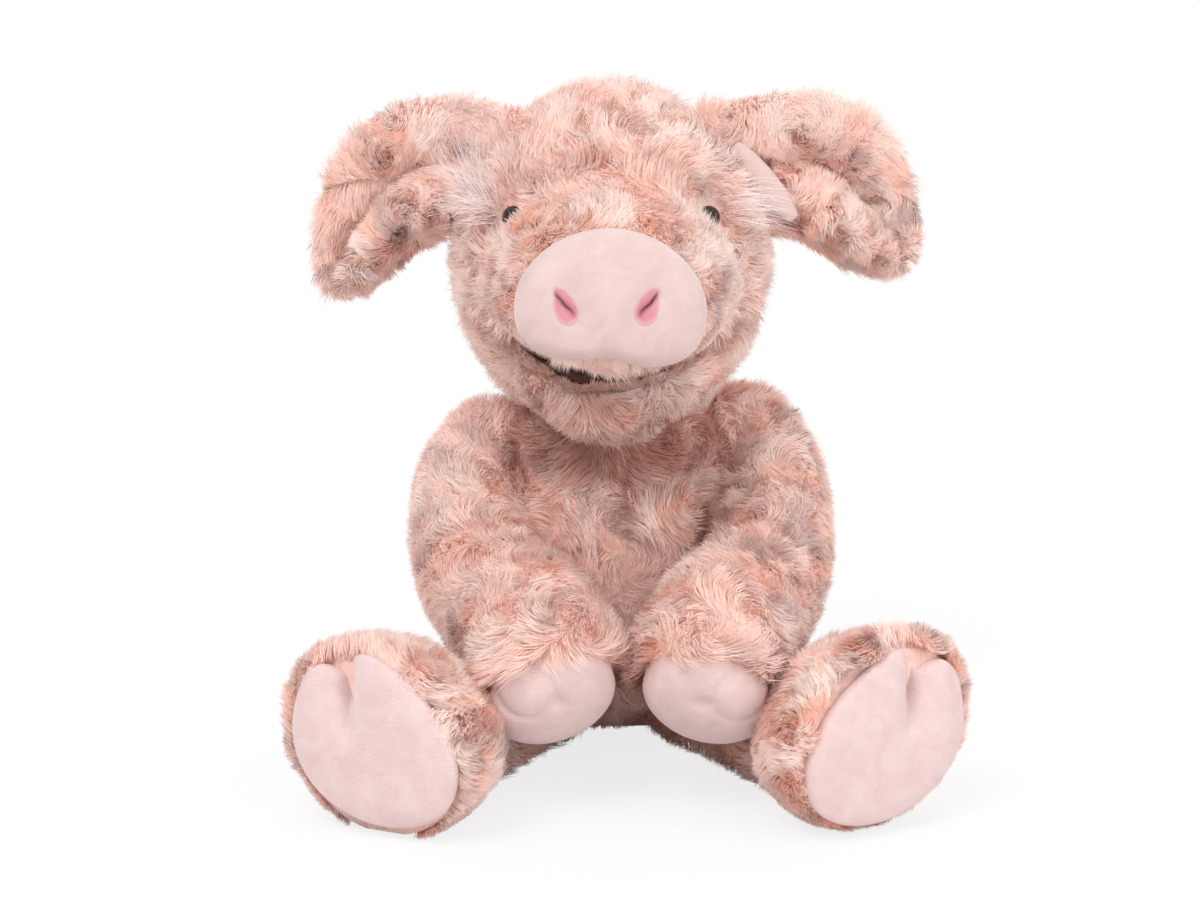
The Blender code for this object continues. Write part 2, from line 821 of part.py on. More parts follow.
def arm_rings(data, inset, count):
    """Rings square to the arm's middle line, the first one flat against the shoulder."""
    centres = [arm_centre(row[:4], data) for row in ARM_SHARES]
    rings = []
    last = len(centres) - 1
    for index, row in enumerate(ARM_SHARES):
        if index == 0:
            along = X * data["sign"]
        else:
            along = (centres[min(index + 1, last)] - centres[index - 1]).normalized()
        if index == last:
            along = wrist_direction(data)
        across = along.cross(Z if abs(along.z) < abs(along.x) + abs(along.y) else Y).normalized()
        third = along.cross(across).normalized()
        radius = PAW_DIAMETER / 2 * row[4] - inset
        rings.append((centres[index], along, across, third, radius))
    return [
        oval(centre, across, third, radius, radius, radius, count)
        for centre, _, across, third, radius in align(rings)
    ]


def align(frames):
    """Keeps each frame's first direction close to that of the frame before it."""
    fixed = [frames[0]]
    for centre, along, across, third, radius in frames[1:]:
        before = fixed[-1][2]
        across = (before - along * before.dot(along)).normalized()
        fixed.append((centre, along, across, along.cross(across), radius))
    return fixed


def wrist_direction(data):
    """The way the hoof points: ahead, down and slightly inward."""
    last = arm_centre(ARM_SHARES[-1][:4], data)
    before = arm_centre(ARM_SHARES[-3][:4], data)
    return (last - before).normalized()


def lobed_ring(centre, across, upward, half_width, half_height, cleft, turn, count):
    """An oval with a cleft pressed into one end, which parts it into two toes."""
    points = []
    for step in range(count):
        angle = math.tau * step / count
        beside = ((angle - turn + math.pi) % math.tau - math.pi) / CLEFT_TURN
        dent = math.exp(-beside * beside)
        reach = 1.0 - cleft * dent
        points.append(
            centre
            + across * half_width * math.cos(angle) * reach
            + upward * half_height * math.sin(angle) * reach
        )
    return points


def build_arm(name, data, root, cover, stuffing):
    """An arm's fur sleeve, its stuffing and the velour hoof that closes its wrist."""
    sign = data["sign"]
    seat = Vector((sign * SHOULDER_SIDE, -SHOULDER_AHEAD, SHOULDER_HEIGHT))
    shoulder = pivot("shoulder_" + name, seat, root)
    outer = arm_rings(data, 0.0, ROUND_LIMB)
    inner = arm_rings(data, FUR_CLOTH, ROUND_LIMB)
    sleeve("arm_" + name + "_cover", outer, inner, shoulder, "fur")
    filling = arm_rings(data, FUR_CLOTH + STUFFING_GAP, ROUND_LIMB)
    skin("arm_" + name + "_stuffing", filling, shoulder, "stuffing")
    wrist = mean(outer[-1])
    along = wrist_direction(data)
    across = along.cross(Z).normalized() * -1.0
    upward = along.cross(across)
    rings = []
    for deep, size in HOOF_SHARES:
        place = wrist + along * (GAP + HOOF_DEPTH * deep)
        half = HOOF_DIAMETER / 2 * size
        rings.append(
            lobed_ring(
                place, across, upward, half, half, HOOF_CLEFT_SHARE, data["cleft"], ROUND_FOOT
            )
        )
    tip = wrist + along * (GAP + HOOF_DEPTH)
    skin("hoof_" + name, rings, shoulder, "velour", None, tip)
    recess = rod(
        "arm_seat_" + name,
        seat,
        seat + X * sign * BODY_WIDTH / 2,
        PAW_DIAMETER / 2 * ARM_SHARES[0][4] + 2 * GAP,
        root,
        None,
        ROUND_BODY,
    )
    cut(cover, recess)
    cut(stuffing, recess)


def leg_place(data, distance, height):
    """A point at a distance along the leg from the hip, and at a height."""
    splay = data["splay"]
    side = data["sign"] * (HIP_SIDE + distance * math.sin(splay))
    return Vector((side, -HIP_AHEAD - distance * math.cos(splay), height))


def leg_ring(data, distance, half_width, half_height, inset, count, cleft=0.0):
    """A ring across the leg that rests on the floor, or round the hip's ball."""
    splay = data["splay"]
    across = Vector((data["sign"] * math.cos(splay), math.sin(splay), 0.0))
    centre = leg_place(data, distance, half_height - FLAT_DEPTH)
    return lobed_ring(
        centre, across, Z, half_width - inset, half_height - inset, cleft, data["toes"], count
    )


def hip_rings(data, inset, count):
    """Rings on the ball at the hip and along the leg to the ankle."""
    radius = HIP_BALL_DIAMETER / 2
    rings = []
    for angle in HIP_RIM_ANGLES:
        ring_radius = radius * math.sin(angle)
        splay = data["splay"]
        across = Vector((data["sign"] * math.cos(splay), math.sin(splay), 0.0))
        centre = leg_place(data, -radius * math.cos(angle), radius - FLAT_DEPTH)
        size = ring_radius - inset
        rings.append(oval(centre, across, Z, size, size, size, count))
    for place, thick in LEG_SHARES:
        half = LEG_DIAMETER / 2 * thick
        rings.append(leg_ring(data, LEG_LENGTH * place, half, half, inset, count))
    return rings


def foot_rings(data, inset, count):
    """Rings from the ankle to the edge of the sole, each standing on the floor."""
    rings = []
    for place, wide, high in FOOT_SHARES:
        distance = LEG_LENGTH + GAP + FOOT_LENGTH * place
        rings.append(
            leg_ring(data, distance, FOOT_WIDTH / 2 * wide, FOOT_HEIGHT / 2 * high, inset, count)
        )
    return rings


def build_leg(name, data, root, floor, parts):
    """A leg's and a foot's fur covers, their stuffing and the velour sole."""
    centre = leg_place(data, 0.0, HIP_BALL_DIAMETER / 2 - FLAT_DEPTH)
    hip = pivot("hip_" + name, centre, root)
    leg = sleeve(
        "leg_" + name + "_cover",
        hip_rings(data, 0.0, ROUND_LIMB),
        hip_rings(data, FUR_CLOTH, ROUND_LIMB),
        hip,
        "fur",
    )
    inset = FUR_CLOTH + STUFFING_GAP
    skin("leg_" + name + "_stuffing", hip_rings(data, inset, HALF_LIMB), hip, "stuffing")
    foot = sleeve(
        "foot_" + name + "_cover",
        foot_rings(data, 0.0, ROUND_FOOT),
        foot_rings(data, FUR_CLOTH, ROUND_FOOT),
        hip,
        "fur",
    )
    skin("foot_" + name + "_stuffing", foot_rings(data, inset, HALF_FOOT), hip, "stuffing")
    cut(leg, floor)
    cut(foot, floor)
    edge = FOOT_SHARES[-1]
    start = LEG_LENGTH + FOOT_LENGTH + 2 * GAP
    rings = []
    for deep, size in SOLE_SHARES:
        half_width = FOOT_WIDTH / 2 * edge[1] * size
        half_height = FOOT_HEIGHT / 2 * edge[2] * size
        rise = FOOT_HEIGHT / 2 * edge[2] - half_height
        ring = leg_ring(
            data,
            start + SOLE_THICKNESS * deep,
            half_width,
            half_height,
            0.0,
            ROUND_BODY,
            SOLE_CLEFT_SHARE,
        )
        rings.append([point + Z * (rise + FLAT_DEPTH) for point in ring])
    tip = leg_place(data, start + SOLE_THICKNESS, FOOT_HEIGHT / 2 * edge[2])
    skin("sole_" + name, rings, hip, "velour", None, tip)
    socket = ball("hip_socket_" + name, centre, HIP_BALL_DIAMETER / 2 + 2 * GAP, root)
    for part in parts:
        cut(part, socket)


def build_tail(root):
    """A short curl of fur, sewn to the middle of the back."""
    share = TAIL_HEIGHT / BODY_HEIGHT
    _, _, back, lean = between(BODY_SHARES, share)
    start_y = BODY_LEAN * lean + BODY_BACK * back
    radius = TAIL_CURL_DIAMETER / 2
    centres = []
    for step in range(TAIL_STEPS + 1):
        part = step / TAIL_STEPS
        angle = -math.pi / 2 + math.tau * TAIL_TURNS * part
        swell = radius * min(1.0, part / TAIL_SWELL_SHARE)
        place = Vector(
            (
                swell * math.cos(angle),
                start_y - OVERRUN + (TAIL_LENGTH + OVERRUN) * part,
                TAIL_HEIGHT + radius + swell * math.sin(angle),
            )
        )
        centres.append(place)
    frames = []
    for index, centre in enumerate(centres):
        along = centres[min(index + 1, TAIL_STEPS)] - centres[max(index - 1, 0)]
        along.normalize()
        across = along.cross(X).normalized()
        thin = TAIL_DIAMETER / 2 * (1.0 - TAIL_TAPER_SHARE * index / TAIL_STEPS)
        frames.append((centre, along, across, along.cross(across), thin))
    rings = [
        oval(centre, across, third, thin, thin, thin, ROUND_TAIL)
        for centre, _, across, third, thin in align(frames)
    ]
    tail = skin("tail", rings, root, "fur", None, centres[-1] + frames[-1][1] * frames[-1][4] / 2)
    rings = [body_ring(height, -GAP, ROUND_BODY) for height in body_heights()]
    cut(tail, skin("body_clearance", rings, root, None))


def centre_on_floor(root):
    """Moves the whole pig so that the middle of its outline is over the origin."""
    bpy.context.view_layer.update()
    spots = []
    for item in bpy.data.objects:
        if item.type == "MESH" and not item.hide_render:
            spots += [item.matrix_world @ point.co for point in item.data.vertices]
    middle_x = (min(spot.x for spot in spots) + max(spot.x for spot in spots)) / 2
    middle_y = (min(spot.y for spot in spots) + max(spot.y for spot in spots)) / 2
    root.location = Vector((-middle_x, -middle_y, 0.0))


def build_pig():
    """The whole pig, sitting with its hands between its feet."""
    clear_scene()
    root = pivot("pig", Vector())
    floor = floor_cutter(root)
    body_cover, body_stuffing, beans = build_body(root, floor)
    neck = pivot("neck", Vector((HEAD_SIDE, -HEAD_AHEAD, BODY_HEIGHT)), root)
    head_cover, head_stuffing, head_solid = build_head(neck)
    build_snout(neck, head_solid)
    build_jaw(neck, head_solid)
    for name, data in SIDES.items():
        build_eye(name, data["sign"], neck, head_cover, head_stuffing)
        build_lash(name, data["sign"], neck)
        build_ear(name, data, neck, head_cover, head_stuffing)
        build_arm(name, data, root, body_cover, body_stuffing)
        build_leg(name, data, root, floor, (body_cover, body_stuffing, beans))
    build_tail(root)
    centre_on_floor(root)


build_pig()
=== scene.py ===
"""A floppy plush pig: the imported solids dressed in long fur, velour, thread and glossy eyes."""

import json

import bpy
import numpy as np
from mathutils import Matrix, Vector

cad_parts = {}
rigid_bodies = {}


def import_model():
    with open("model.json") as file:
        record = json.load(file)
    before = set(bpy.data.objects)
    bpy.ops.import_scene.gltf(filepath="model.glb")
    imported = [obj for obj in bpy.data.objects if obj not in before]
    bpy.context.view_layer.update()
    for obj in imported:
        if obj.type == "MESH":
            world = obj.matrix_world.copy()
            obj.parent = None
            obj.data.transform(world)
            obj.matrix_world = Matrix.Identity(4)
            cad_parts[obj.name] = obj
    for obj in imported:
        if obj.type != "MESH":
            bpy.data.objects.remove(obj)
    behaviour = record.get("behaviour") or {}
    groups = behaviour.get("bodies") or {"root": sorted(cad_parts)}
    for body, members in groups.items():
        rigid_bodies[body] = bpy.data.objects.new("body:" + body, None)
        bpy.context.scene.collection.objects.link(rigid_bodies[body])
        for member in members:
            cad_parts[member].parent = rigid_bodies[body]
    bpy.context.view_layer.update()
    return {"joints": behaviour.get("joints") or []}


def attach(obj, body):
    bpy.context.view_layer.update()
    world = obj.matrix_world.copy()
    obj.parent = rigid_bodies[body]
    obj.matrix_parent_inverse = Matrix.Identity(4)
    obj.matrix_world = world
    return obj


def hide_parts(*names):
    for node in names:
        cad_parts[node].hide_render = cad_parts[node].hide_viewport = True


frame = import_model()

# The body is a bag of long-pile fur cloth, sewn into a pear with a seam down the chest.
# Its backing is a knitted cloth. The pile is teased into whirls and dyed in three pinks.
neck_joint = next(joint for joint in frame["joints"] if joint["name"] == "neck")
neck_side, neck_ahead, neck_height = -0.0025, 0.011, 0.130
seat = np.array(neck_joint["pos_m"]) - np.array((neck_side, -neck_ahead, neck_height))
whole_turn = 2.0 * np.pi
sides = {"right": -1.0, "left": 1.0}


def eased(rows, place):
    """Table values at a place: the cubic a(2t3-3t2+1) + m(t3-2t2+t) + b(3t2-2t3) + n(t3-t2)."""
    table = np.asarray(rows, float)
    keys, values = table[:, 0], table[:, 1:]
    slopes = np.gradient(values, keys, axis=0)
    place = np.clip(np.asarray(place, float), keys[0], keys[-1])
    low = np.clip(np.searchsorted(keys, place) - 1, 0, len(keys) - 2)
    span = (keys[low + 1] - keys[low])[..., None]
    part = (place - keys[low])[..., None] / span
    square, cube = part**2, part**3
    found = (
        values[low] * (2 * cube - 3 * square + 1)
        + slopes[low] * span * (cube - 2 * square + part)
        + values[low + 1] * (3 * square - 2 * cube)
        + slopes[low + 1] * span * (cube - square)
    )
    return np.moveaxis(found, -1, 0)


def smooth_step(low, high, value):
    """0 below low, 1 above high and 3t2-2t3 between."""
    part = np.clip((value - low) / (high - low), 0.0, 1.0)
    return part * part * (3 - 2 * part)


def unit(vectors):
    """Each vector over its own length."""
    return vectors / np.maximum(np.linalg.norm(vectors, axis=-1, keepdims=True), 1e-12)


def bell(value, width, power=2):
    """A smooth hump: exp(-(value / width)^power)."""
    return np.exp(-((value / width) ** power))


def rings(first, last, rows, points):
    """Two parameters on a grid: even steps from first to last along it, and once around."""
    turn = np.linspace(0, whole_turn, points, False)
    return np.meshgrid(np.linspace(first, last, rows), turn, indexing="ij")


def mesh_object(name, points, faces):
    """An object at the origin whose mesh has these points and faces of equal corner count."""
    mesh = bpy.data.meshes.new(name)
    mesh.vertices.add(len(points))
    mesh.vertices.foreach_set("co", np.ascontiguousarray(points, np.float32).ravel())
    mesh.loops.add(faces.size)
    mesh.loops.foreach_set("vertex_index", np.ascontiguousarray(faces, np.int32).ravel())
    mesh.polygons.add(len(faces))
    mesh.polygons.foreach_set("loop_start", np.arange(0, faces.size, faces.shape[1], np.int32))
    mesh.update(calc_edges=True)
    mesh.shade_smooth()
    made = bpy.data.objects.new(name, mesh)
    bpy.context.scene.collection.objects.link(made)
    return made


def shell_of(name, grid):
    """A closed shell through the rings of a grid, each end closed by a fan to its ring's mean."""
    rows, count = grid.shape[:2]
    index = np.arange(rows * count).reshape(rows, count)
    after = np.roll(index, -1, axis=1)
    low, low_after, high, high_after = index[:-1], after[:-1], index[1:], after[1:]
    near = np.stack((low, low_after, high_after), -1).reshape(-1, 3)
    far = np.stack((low, high_after, high), -1).reshape(-1, 3)
    start, end = rows * count, rows * count + 1
    first = np.stack((np.full(count, start), after[0], index[0]), -1)
    last = np.stack((np.full(count, end), index[-1], after[-1]), -1)
    points = np.vstack((grid.reshape(-1, 3), grid[0].mean(0), grid[-1].mean(0)))
    faces = np.vstack((near, far, first, last))
    corner = points[faces]
    volume = np.einsum("ij,ij->i", corner[:, 0], np.cross(corner[:, 1], corner[:, 2])).sum()
    return mesh_object(name, points, faces if volume > 0 else faces[:, ::-1])


def outward_of(grid):
    """Normals of a ringed grid: the cross product of its differences around and along."""
    around = np.roll(grid, -1, axis=1) - np.roll(grid, 1, axis=1)
    along = np.gradient(grid, axis=0)
    found = unit(np.cross(around, along))
    away = grid - grid.mean(1, keepdims=True)
    return found * (1.0 if (found * away).sum() > 0 else -1.0)


def scatter(grid, count, random, keep=None):
    """Roots spread evenly by area over a ringed grid: place, outward direction and chart place."""
    rows, columns = grid.shape[:2]
    outward = outward_of(grid)
    beside, beside_out = np.roll(grid, -1, axis=1), np.roll(outward, -1, axis=1)
    diagonals = np.cross(beside[1:] - grid[:-1], grid[1:] - beside[:-1])
    area = 0.5 * np.linalg.norm(diagonals, axis=-1)
    if keep is not None:
        area = area * keep(grid, outward)[:-1]
    pick = random.choice(area.size, count, p=area.ravel() / area.sum())
    row, column = np.divmod(pick, columns)
    up, over = random.random((2, count, 1))

    def mixed(here, next_to):
        """The bilinear mean of the four corners of each root's cell."""
        lower = here[row, column] * (1 - over) + next_to[row, column] * over
        upper = here[row + 1, column] * (1 - over) + next_to[row + 1, column] * over
        return lower * (1 - up) + upper * up

    chart = np.column_stack(((column + over[:, 0]) / columns, (row + up[:, 0]) / (rows - 1)))
    return mixed(grid, beside), unit(mixed(outward, beside_out)), chart, area.sum()


def flat_on(vectors, outward):
    """The part of each vector that lies in the surface, at unit length."""
    return unit(vectors - outward * (vectors * outward).sum(-1, keepdims=True))


def mark(mesh, label, values):
    """Keeps a number or a vector for each point of a mesh as a named attribute."""
    kind, field = ("FLOAT_VECTOR", "vector") if values.ndim > 1 else ("FLOAT", "value")
    layer = mesh.attributes.new(label, kind, "POINT")
    layer.data.foreach_set(field, values.astype(np.float32).ravel())


def strand_mesh(name, base, middle, tip, width, outward, shade, chart, twist):
    """Tapered strands of three triangles: two wide at the root, one at the tip.

    Each is turned about its own length by its twist, so that some show from every side.
    """
    count = len(base)
    along = unit(tip - base)
    flat = unit(np.cross(along, outward))
    turned = flat * np.cos(twist)[:, None] + np.cross(along, flat) * np.sin(twist)[:, None]
    across = turned * width[:, None] / 2
    points = np.stack((base - across, base + across, middle - across, middle + across, tip), 1)
    corners = np.array(((0, 1, 3), (0, 3, 2), (2, 3, 4)))
    faces = (np.arange(count)[:, None, None] * 5 + corners).reshape(-1, 3)
    facing = np.cross(points[:, 1] - points[:, 0], points[:, 4] - points[:, 0])
    if (facing * outward).sum() < 0:
        faces = faces[:, ::-1]
    made = mesh_object(name, points.reshape(-1, 3), faces)
    mesh = made.data
    side_lean = np.array((-0.3, 0.3, -0.3, 0.3, 0.0))[None, :, None]
    tilted = outward[:, None] + np.cross(flat, along)[:, None] * 0.3 + turned[:, None] * side_lean
    mesh.normals_split_custom_set_from_vertices(unit(tilted).reshape(-1, 3).tolist())
    mark(mesh, "root_place", np.repeat(base, 5, axis=0))
    mark(mesh, "along", np.tile((0.0, 0.0, 0.55, 0.55, 1.0), count))
    mark(mesh, "shade", np.repeat(shade, 5))
    offsets = np.array(((0, 0), (1, 0), (0, 1), (1, 1), (0.5, 2))) * 0.0012
    place = (chart[:, None] * 0.99 + offsets).reshape(-1, 2)
    layer = mesh.uv_layers.new(name="OFBake")
    layer.data.foreach_set("uv", place[faces.ravel()].astype(np.float32).ravel())
    return made


tuft_size, strand_width, pile_floor, darkening_depth = 0.0040, 0.00027, 0.0006, 3.8


def grow_pile(name, body, grid, count, length, flow, seed, whirl=0.018, pull=0.30, swirl=1.0,
              lean=56.0, keep=None, darkening=None):
    """Pile over a ringed grid, combed in whirls, that rides on a body.

    Each strand is root + L(h out + s comb), where comb turns round the nearest whirl's middle,
    flow bends it the way the cloth is brushed, and strands of one tuft share part of their tip.
    """
    random = np.random.default_rng(seed)
    root, outward, chart, area = scatter(grid, count, random, keep)
    centres = root[random.choice(count, max(int(area / whirl**2), 4), replace=False)]
    nearest = np.empty(count, int)
    for start in range(0, count, 8192):
        block = slice(start, start + 8192)
        nearest[block] = np.linalg.norm(root[block, None] - centres, axis=-1).argmin(1)
    bumps = np.sin(root @ random.normal(size=(3, 3)) * 700.0) * 0.0016
    cell = np.floor((root + bumps) / tuft_size).astype(int)
    cell = (cell - cell.min(0)) @ np.array((1, 4096, 4096 * 4096))
    _, tuft, members = np.unique(cell, return_inverse=True, return_counts=True)
    tufts = len(members)

    def tuft_mean(places):
        """The mean place of each strand's tuft."""
        sums = [np.bincount(tuft, places[:, axis]) for axis in range(3)]
        return (np.stack(sums, -1) / members[:, None])[tuft]

    offset = root - centres[nearest]
    reach = np.linalg.norm(offset, axis=-1) / whirl
    spin = random.choice((-1.0, 1.0), len(centres))[nearest][:, None]
    radial = flat_on(offset, outward)
    turning = np.cross(outward, radial) * spin
    brushed = flow(root, outward, chart)
    brushed = brushed - outward * (brushed * outward).sum(-1, keepdims=True)
    wander = random.normal(size=(count, 3)) * 0.22 + random.normal(size=(tufts, 3))[tuft] * 0.16
    comb = flat_on(swirl * (turning * 0.95 + radial * 0.40) + brushed * 0.65 + wander, outward)
    angle = np.radians(lean - 26.0 * bell(reach, 0.32))
    angle = angle + random.normal(size=count) * 0.12 + random.normal(size=tufts)[tuft] * 0.06
    long = length(root, outward, chart) if callable(length) else length
    long = long * (0.78 + 0.27 * smooth_step(0.1, 0.6, reach)) * (0.85 + 0.3 * random.random(count))
    long = long * (0.90 + 0.22 * random.random(tufts))[tuft]
    rise, run = (long * np.cos(angle))[:, None], (long * np.sin(angle))[:, None]
    curl = flat_on(comb + 1.1 * np.cross(outward, comb) * spin, outward)
    middle = root + outward * rise * 0.70 + comb * run * 0.42
    tip = root + outward * rise + comb * run * 0.55 + curl * run * 0.40
    gathered = tuft_mean(tip)
    tip = tip * (1 - pull) + gathered * pull
    middle = middle * (1 - pull * 0.3) + ((root + gathered) / 2) * pull * 0.3
    for part in (tip, middle):
        part[:, 2] = np.maximum(part[:, 2], pile_floor)
    # Strands at a tuft's edge are darkened: painted shade for the crevices between tufts.
    aside = np.linalg.norm(root - tuft_mean(root), axis=-1)
    crevice_shade = smooth_step(0.0011, 0.0026, aside) * (0.25 + 0.75 * random.random(tufts))[tuft]
    shade = random.random(count) * 0.28 + random.random(tufts)[tuft] * 0.18 + 0.56
    shade = shade - 0.42 * crevice_shade
    # The darkening lowers the shade attribute: painted shade in creases, gaps and undersides, on
    # the chest partly a browner dye.
    if darkening is not None:
        shade = shade - darkening(root) * darkening_depth
    width = strand_width * (0.8 + 0.5 * random.random(count))
    twist = random.normal(size=count) * 0.45
    made = strand_mesh(name, root, middle, tip, width, outward, shade, chart, twist)
    return dress(made, body, "fur", long_fur)


def set_inputs(tree, node, inputs):
    """Sets a node's inputs to values, or links them to sockets."""
    for label, value in inputs.items():
        if isinstance(value, bpy.types.NodeSocket):
            tree.links.new(value, node.inputs[label])
        else:
            node.inputs[label].default_value = value


def add_node(tree, kind, inputs=None, **settings):
    """A shader node of a kind, with its settings and its inputs."""
    made = tree.nodes.new("ShaderNode" + kind)
    for label, value in settings.items():
        setattr(made, label, value)
    set_inputs(tree, made, inputs or {})
    return made


def result(tree, kind, inputs, **settings):
    """The first output of a new shader node."""
    return add_node(tree, kind, inputs, **settings).outputs[0]


def noise(tree, place, scale, **inputs):
    """Cloudy noise of a place, from 0 to 1."""
    return result(tree, "TexNoise", {"Vector": place, "Scale": scale, **inputs})


def tinted(tree, colour, tint):
    """A colour times a tint."""
    return result(tree, "VectorMath", {0: colour, 1: tint}, operation="MULTIPLY")


def blended(tree, factor, first, second):
    """The colour between two others by a factor."""
    return add_node(tree, "Mix", {0: factor, 6: first, 7: second}, data_type="RGBA").outputs[2]


def bumped(tree, height, strength, depth):
    """The normal of a surface that a height pattern raises."""
    return result(tree, "Bump", {"Height": height, "Strength": strength, "Distance": depth})


def attribute(tree, name, output="Fac"):
    """What a mesh's points keep under a name."""
    return add_node(tree, "Attribute", attribute_name=name).outputs[output]


def own_place(tree):
    """The place on the object, in its own axes."""
    return add_node(tree, "TexCoord").outputs["Object"]


def new_group(name, inputs, outputs):
    """A shader node group with inputs and outputs by name and kind, and its two end nodes."""
    tree = bpy.data.node_groups.new(name, "ShaderNodeTree")
    for way, sockets in (("INPUT", inputs), ("OUTPUT", outputs)):
        for label, kind in sockets.items():
            tree.interface.new_socket(label, in_out=way, socket_type="NodeSocket" + kind)
    return tree, tree.nodes.new("NodeGroupInput"), tree.nodes.new("NodeGroupOutput")


def new_material(name):
    """A new material, its node tree and its shader."""
    made = bpy.data.materials.new(name)
    made.use_nodes = True
    return made, made.node_tree, made.node_tree.nodes["Principled BSDF"]


pale_pink, cream = (0.97, 0.73, 0.66, 1.0), (0.98, 0.82, 0.76, 1.0)
peach, taupe = (0.93, 0.59, 0.48, 1.0), (0.67, 0.50, 0.47, 1.0)
mottle, mottle_in, mottle_out = new_group("dyed_mottle", {"Place": "Vector"}, {"Colour": "Color"})
dyed = pale_pink
for dye, scale, low, high, shift in (
    (cream, 34.0, 0.46, 0.60, (1.3, 0.2, 0.7)),
    (peach, 62.0, 0.51, 0.66, (4.1, 2.7, 3.3)),
    (taupe, 52.0, 0.51, 0.66, (7.9, 8.3, 5.5)),
):
    moved = result(
        mottle, "VectorMath", {0: mottle_in.outputs["Place"], 1: shift}, operation="ADD"
    )
    cloud = noise(mottle, moved, scale, Detail=5.0, Roughness=0.62, Distortion=1.2)
    blotch = {"Value": cloud, "From Min": low, "From Max": high}
    blotch = result(mottle, "MapRange", blotch, interpolation_type="SMOOTHSTEP")
    dyed = blended(mottle, blotch, dyed, dye)
set_inputs(mottle, mottle_out, {"Colour": dyed})


def dyed_at(tree, place):
    """The dye's colour at a place."""
    return add_node(tree, "Group", {"Place": place}, node_tree=mottle).outputs["Colour"]


def light_far_side(tree, shader, colour):
    """A strand seen from its inner side passes on the light that falls on its outer side."""
    inner = result(tree, "BsdfTranslucent", {"Color": colour})
    facing = add_node(tree, "NewGeometry").outputs["Backfacing"]
    either = result(tree, "MixShader", {0: facing, 1: shader.outputs[0], 2: inner})
    set_inputs(tree, tree.nodes["Material Output"], {"Surface": either})


def let_light_through(tree, share):
    """Fine hair passes part of the light on: alpha 1 - share for shadow and diffuse rays."""
    path = add_node(tree, "LightPath").outputs
    rays = {0: path["Is Shadow Ray"], 1: path["Is Diffuse Ray"]}
    lit = result(tree, "Math", rays, operation="MAXIMUM")
    return result(tree, "Math", {0: lit, 1: -share, 2: 1.0}, operation="MULTIPLY_ADD")


def fur_material(root_shade_tint, shade_tint, full_shade):
    """Pile dyed in blotches, redder and darker at the root as painted shade deep in the pile, each
    strand a little its own, and turned toward a painted deep shade where its shade attribute falls
    below the full one."""
    made, tree, shader = new_material("mottled_fur")
    dye, shade = dyed_at(tree, attribute(tree, "root_place", "Vector")), attribute(tree, "shade")
    dyed = blended(tree, attribute(tree, "along"), tinted(tree, dye, root_shade_tint), dye)
    own = {"Value": shade, "From Min": full_shade, "To Min": 0.90, "To Max": 1.02}
    scaled = {0: dyed, "Scale": result(tree, "MapRange", own)}
    level = result(tree, "VectorMath", scaled, operation="SCALE")
    depth = {"Value": shade, "From Min": full_shade, "From Max": -1.0}
    depth = result(tree, "MapRange", depth)
    lit = blended(tree, depth, level, tinted(tree, level, shade_tint))
    set_inputs(tree, shader, {
        "Base Color": lit, "Alpha": let_light_through(tree, 0.80), "Roughness": 0.8,
        "Specular IOR Level": 0.2, "Sheen Weight": 0.4, "Sheen Roughness": 0.5,
    })
    light_far_side(tree, shader, lit)
    return made


def backing_material(name, deep):
    """Knitted backing cloth, the dye of the pile it carries darkened by a tint as painted shade
    where it shows between the strands, with its fine rows of loops.
    """
    made, tree, shader = new_material(name)
    place = own_place(tree)
    loops = add_node(tree, "TexWave", {"Vector": place, "Scale": 320.0, "Distortion": 1.5})
    set_inputs(tree, shader, {
        "Base Color": tinted(tree, dyed_at(tree, place), deep), "Roughness": 0.95,
        "Normal": bumped(tree, loops.outputs[1], 0.3, 0.0004),
    })
    return made


def wadding_material():
    """White polyester fibre, matted and slightly lumpy."""
    made, tree, shader = new_material("fibre_wadding")
    tangle = noise(tree, own_place(tree), 380.0, Detail=6.0, Distortion=2.5)
    set_inputs(tree, shader, {
        "Base Color": result(tree, "MapRange", {"Value": tangle, "To Min": 0.72, "To Max": 0.90}),
        "Normal": bumped(tree, tangle, 0.6, 0.001), "Roughness": 0.9,
    })
    return made


# The first tint is painted shade at the strands' roots; the second is the painted deep shade.
long_fur = fur_material((0.86, 0.75, 0.71), (0.50, 0.30, 0.26), 0.54)
# The backing's tint is painted shade: the cloth shows deep between the strands.
backing = backing_material("knitted_backing", (0.86, 0.76, 0.74))
wadding = wadding_material()


def dress(piece, body, slot, material, *nodes, fill=None):
    """Gives a piece its material and the body it rides on, and hides the solids it stands for.
    Its slot and how tight it is stuffed are not used."""
    piece.data.materials.append(material)
    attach(piece, body)
    if nodes:
        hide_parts(*nodes)
    return piece


def sewn(name, grid, *given, **stuffed):
    """A closed shell through a ringed grid, dressed with what is given."""
    return dress(shell_of(name, grid), *given, **stuffed)


def lumpy(grid, inset, size, seed):
    """A grid drawn in by an inset and by lumps, a product of three sines of the place."""
    waves = np.random.default_rng(seed).normal(size=(3, 3)) * 160.0
    lumps = np.sin(grid @ waves).prod(-1, keepdims=True)
    return grid - outward_of(grid) * (inset + size * (1 + lumps))


fur_cloth, wadding_gap, bag_inset, flat_depth = 0.0025, 0.001, 0.0006, 0.0005
body_height, body_width, body_front, body_back, body_lean = 0.130, 0.122, 0.049, 0.054, 0.006
body_rows = (
    (0.00, 0.68, 0.24, 0.72, 1.00), (0.03, 0.82, 0.50, 0.86, 1.00),
    (0.10, 0.94, 0.80, 0.96, 0.95), (0.22, 1.00, 0.97, 1.00, 0.85),
    (0.34, 0.95, 0.98, 0.99, 0.65), (0.46, 0.86, 0.94, 0.95, 0.40),
    (0.58, 0.77, 0.88, 0.89, 0.10), (0.70, 0.71, 0.81, 0.82, -0.25),
    (0.82, 0.72, 0.73, 0.73, -0.65), (0.92, 0.71, 0.67, 0.66, -1.05),
    (1.00, 0.60, 0.58, 0.58, -1.33),
)


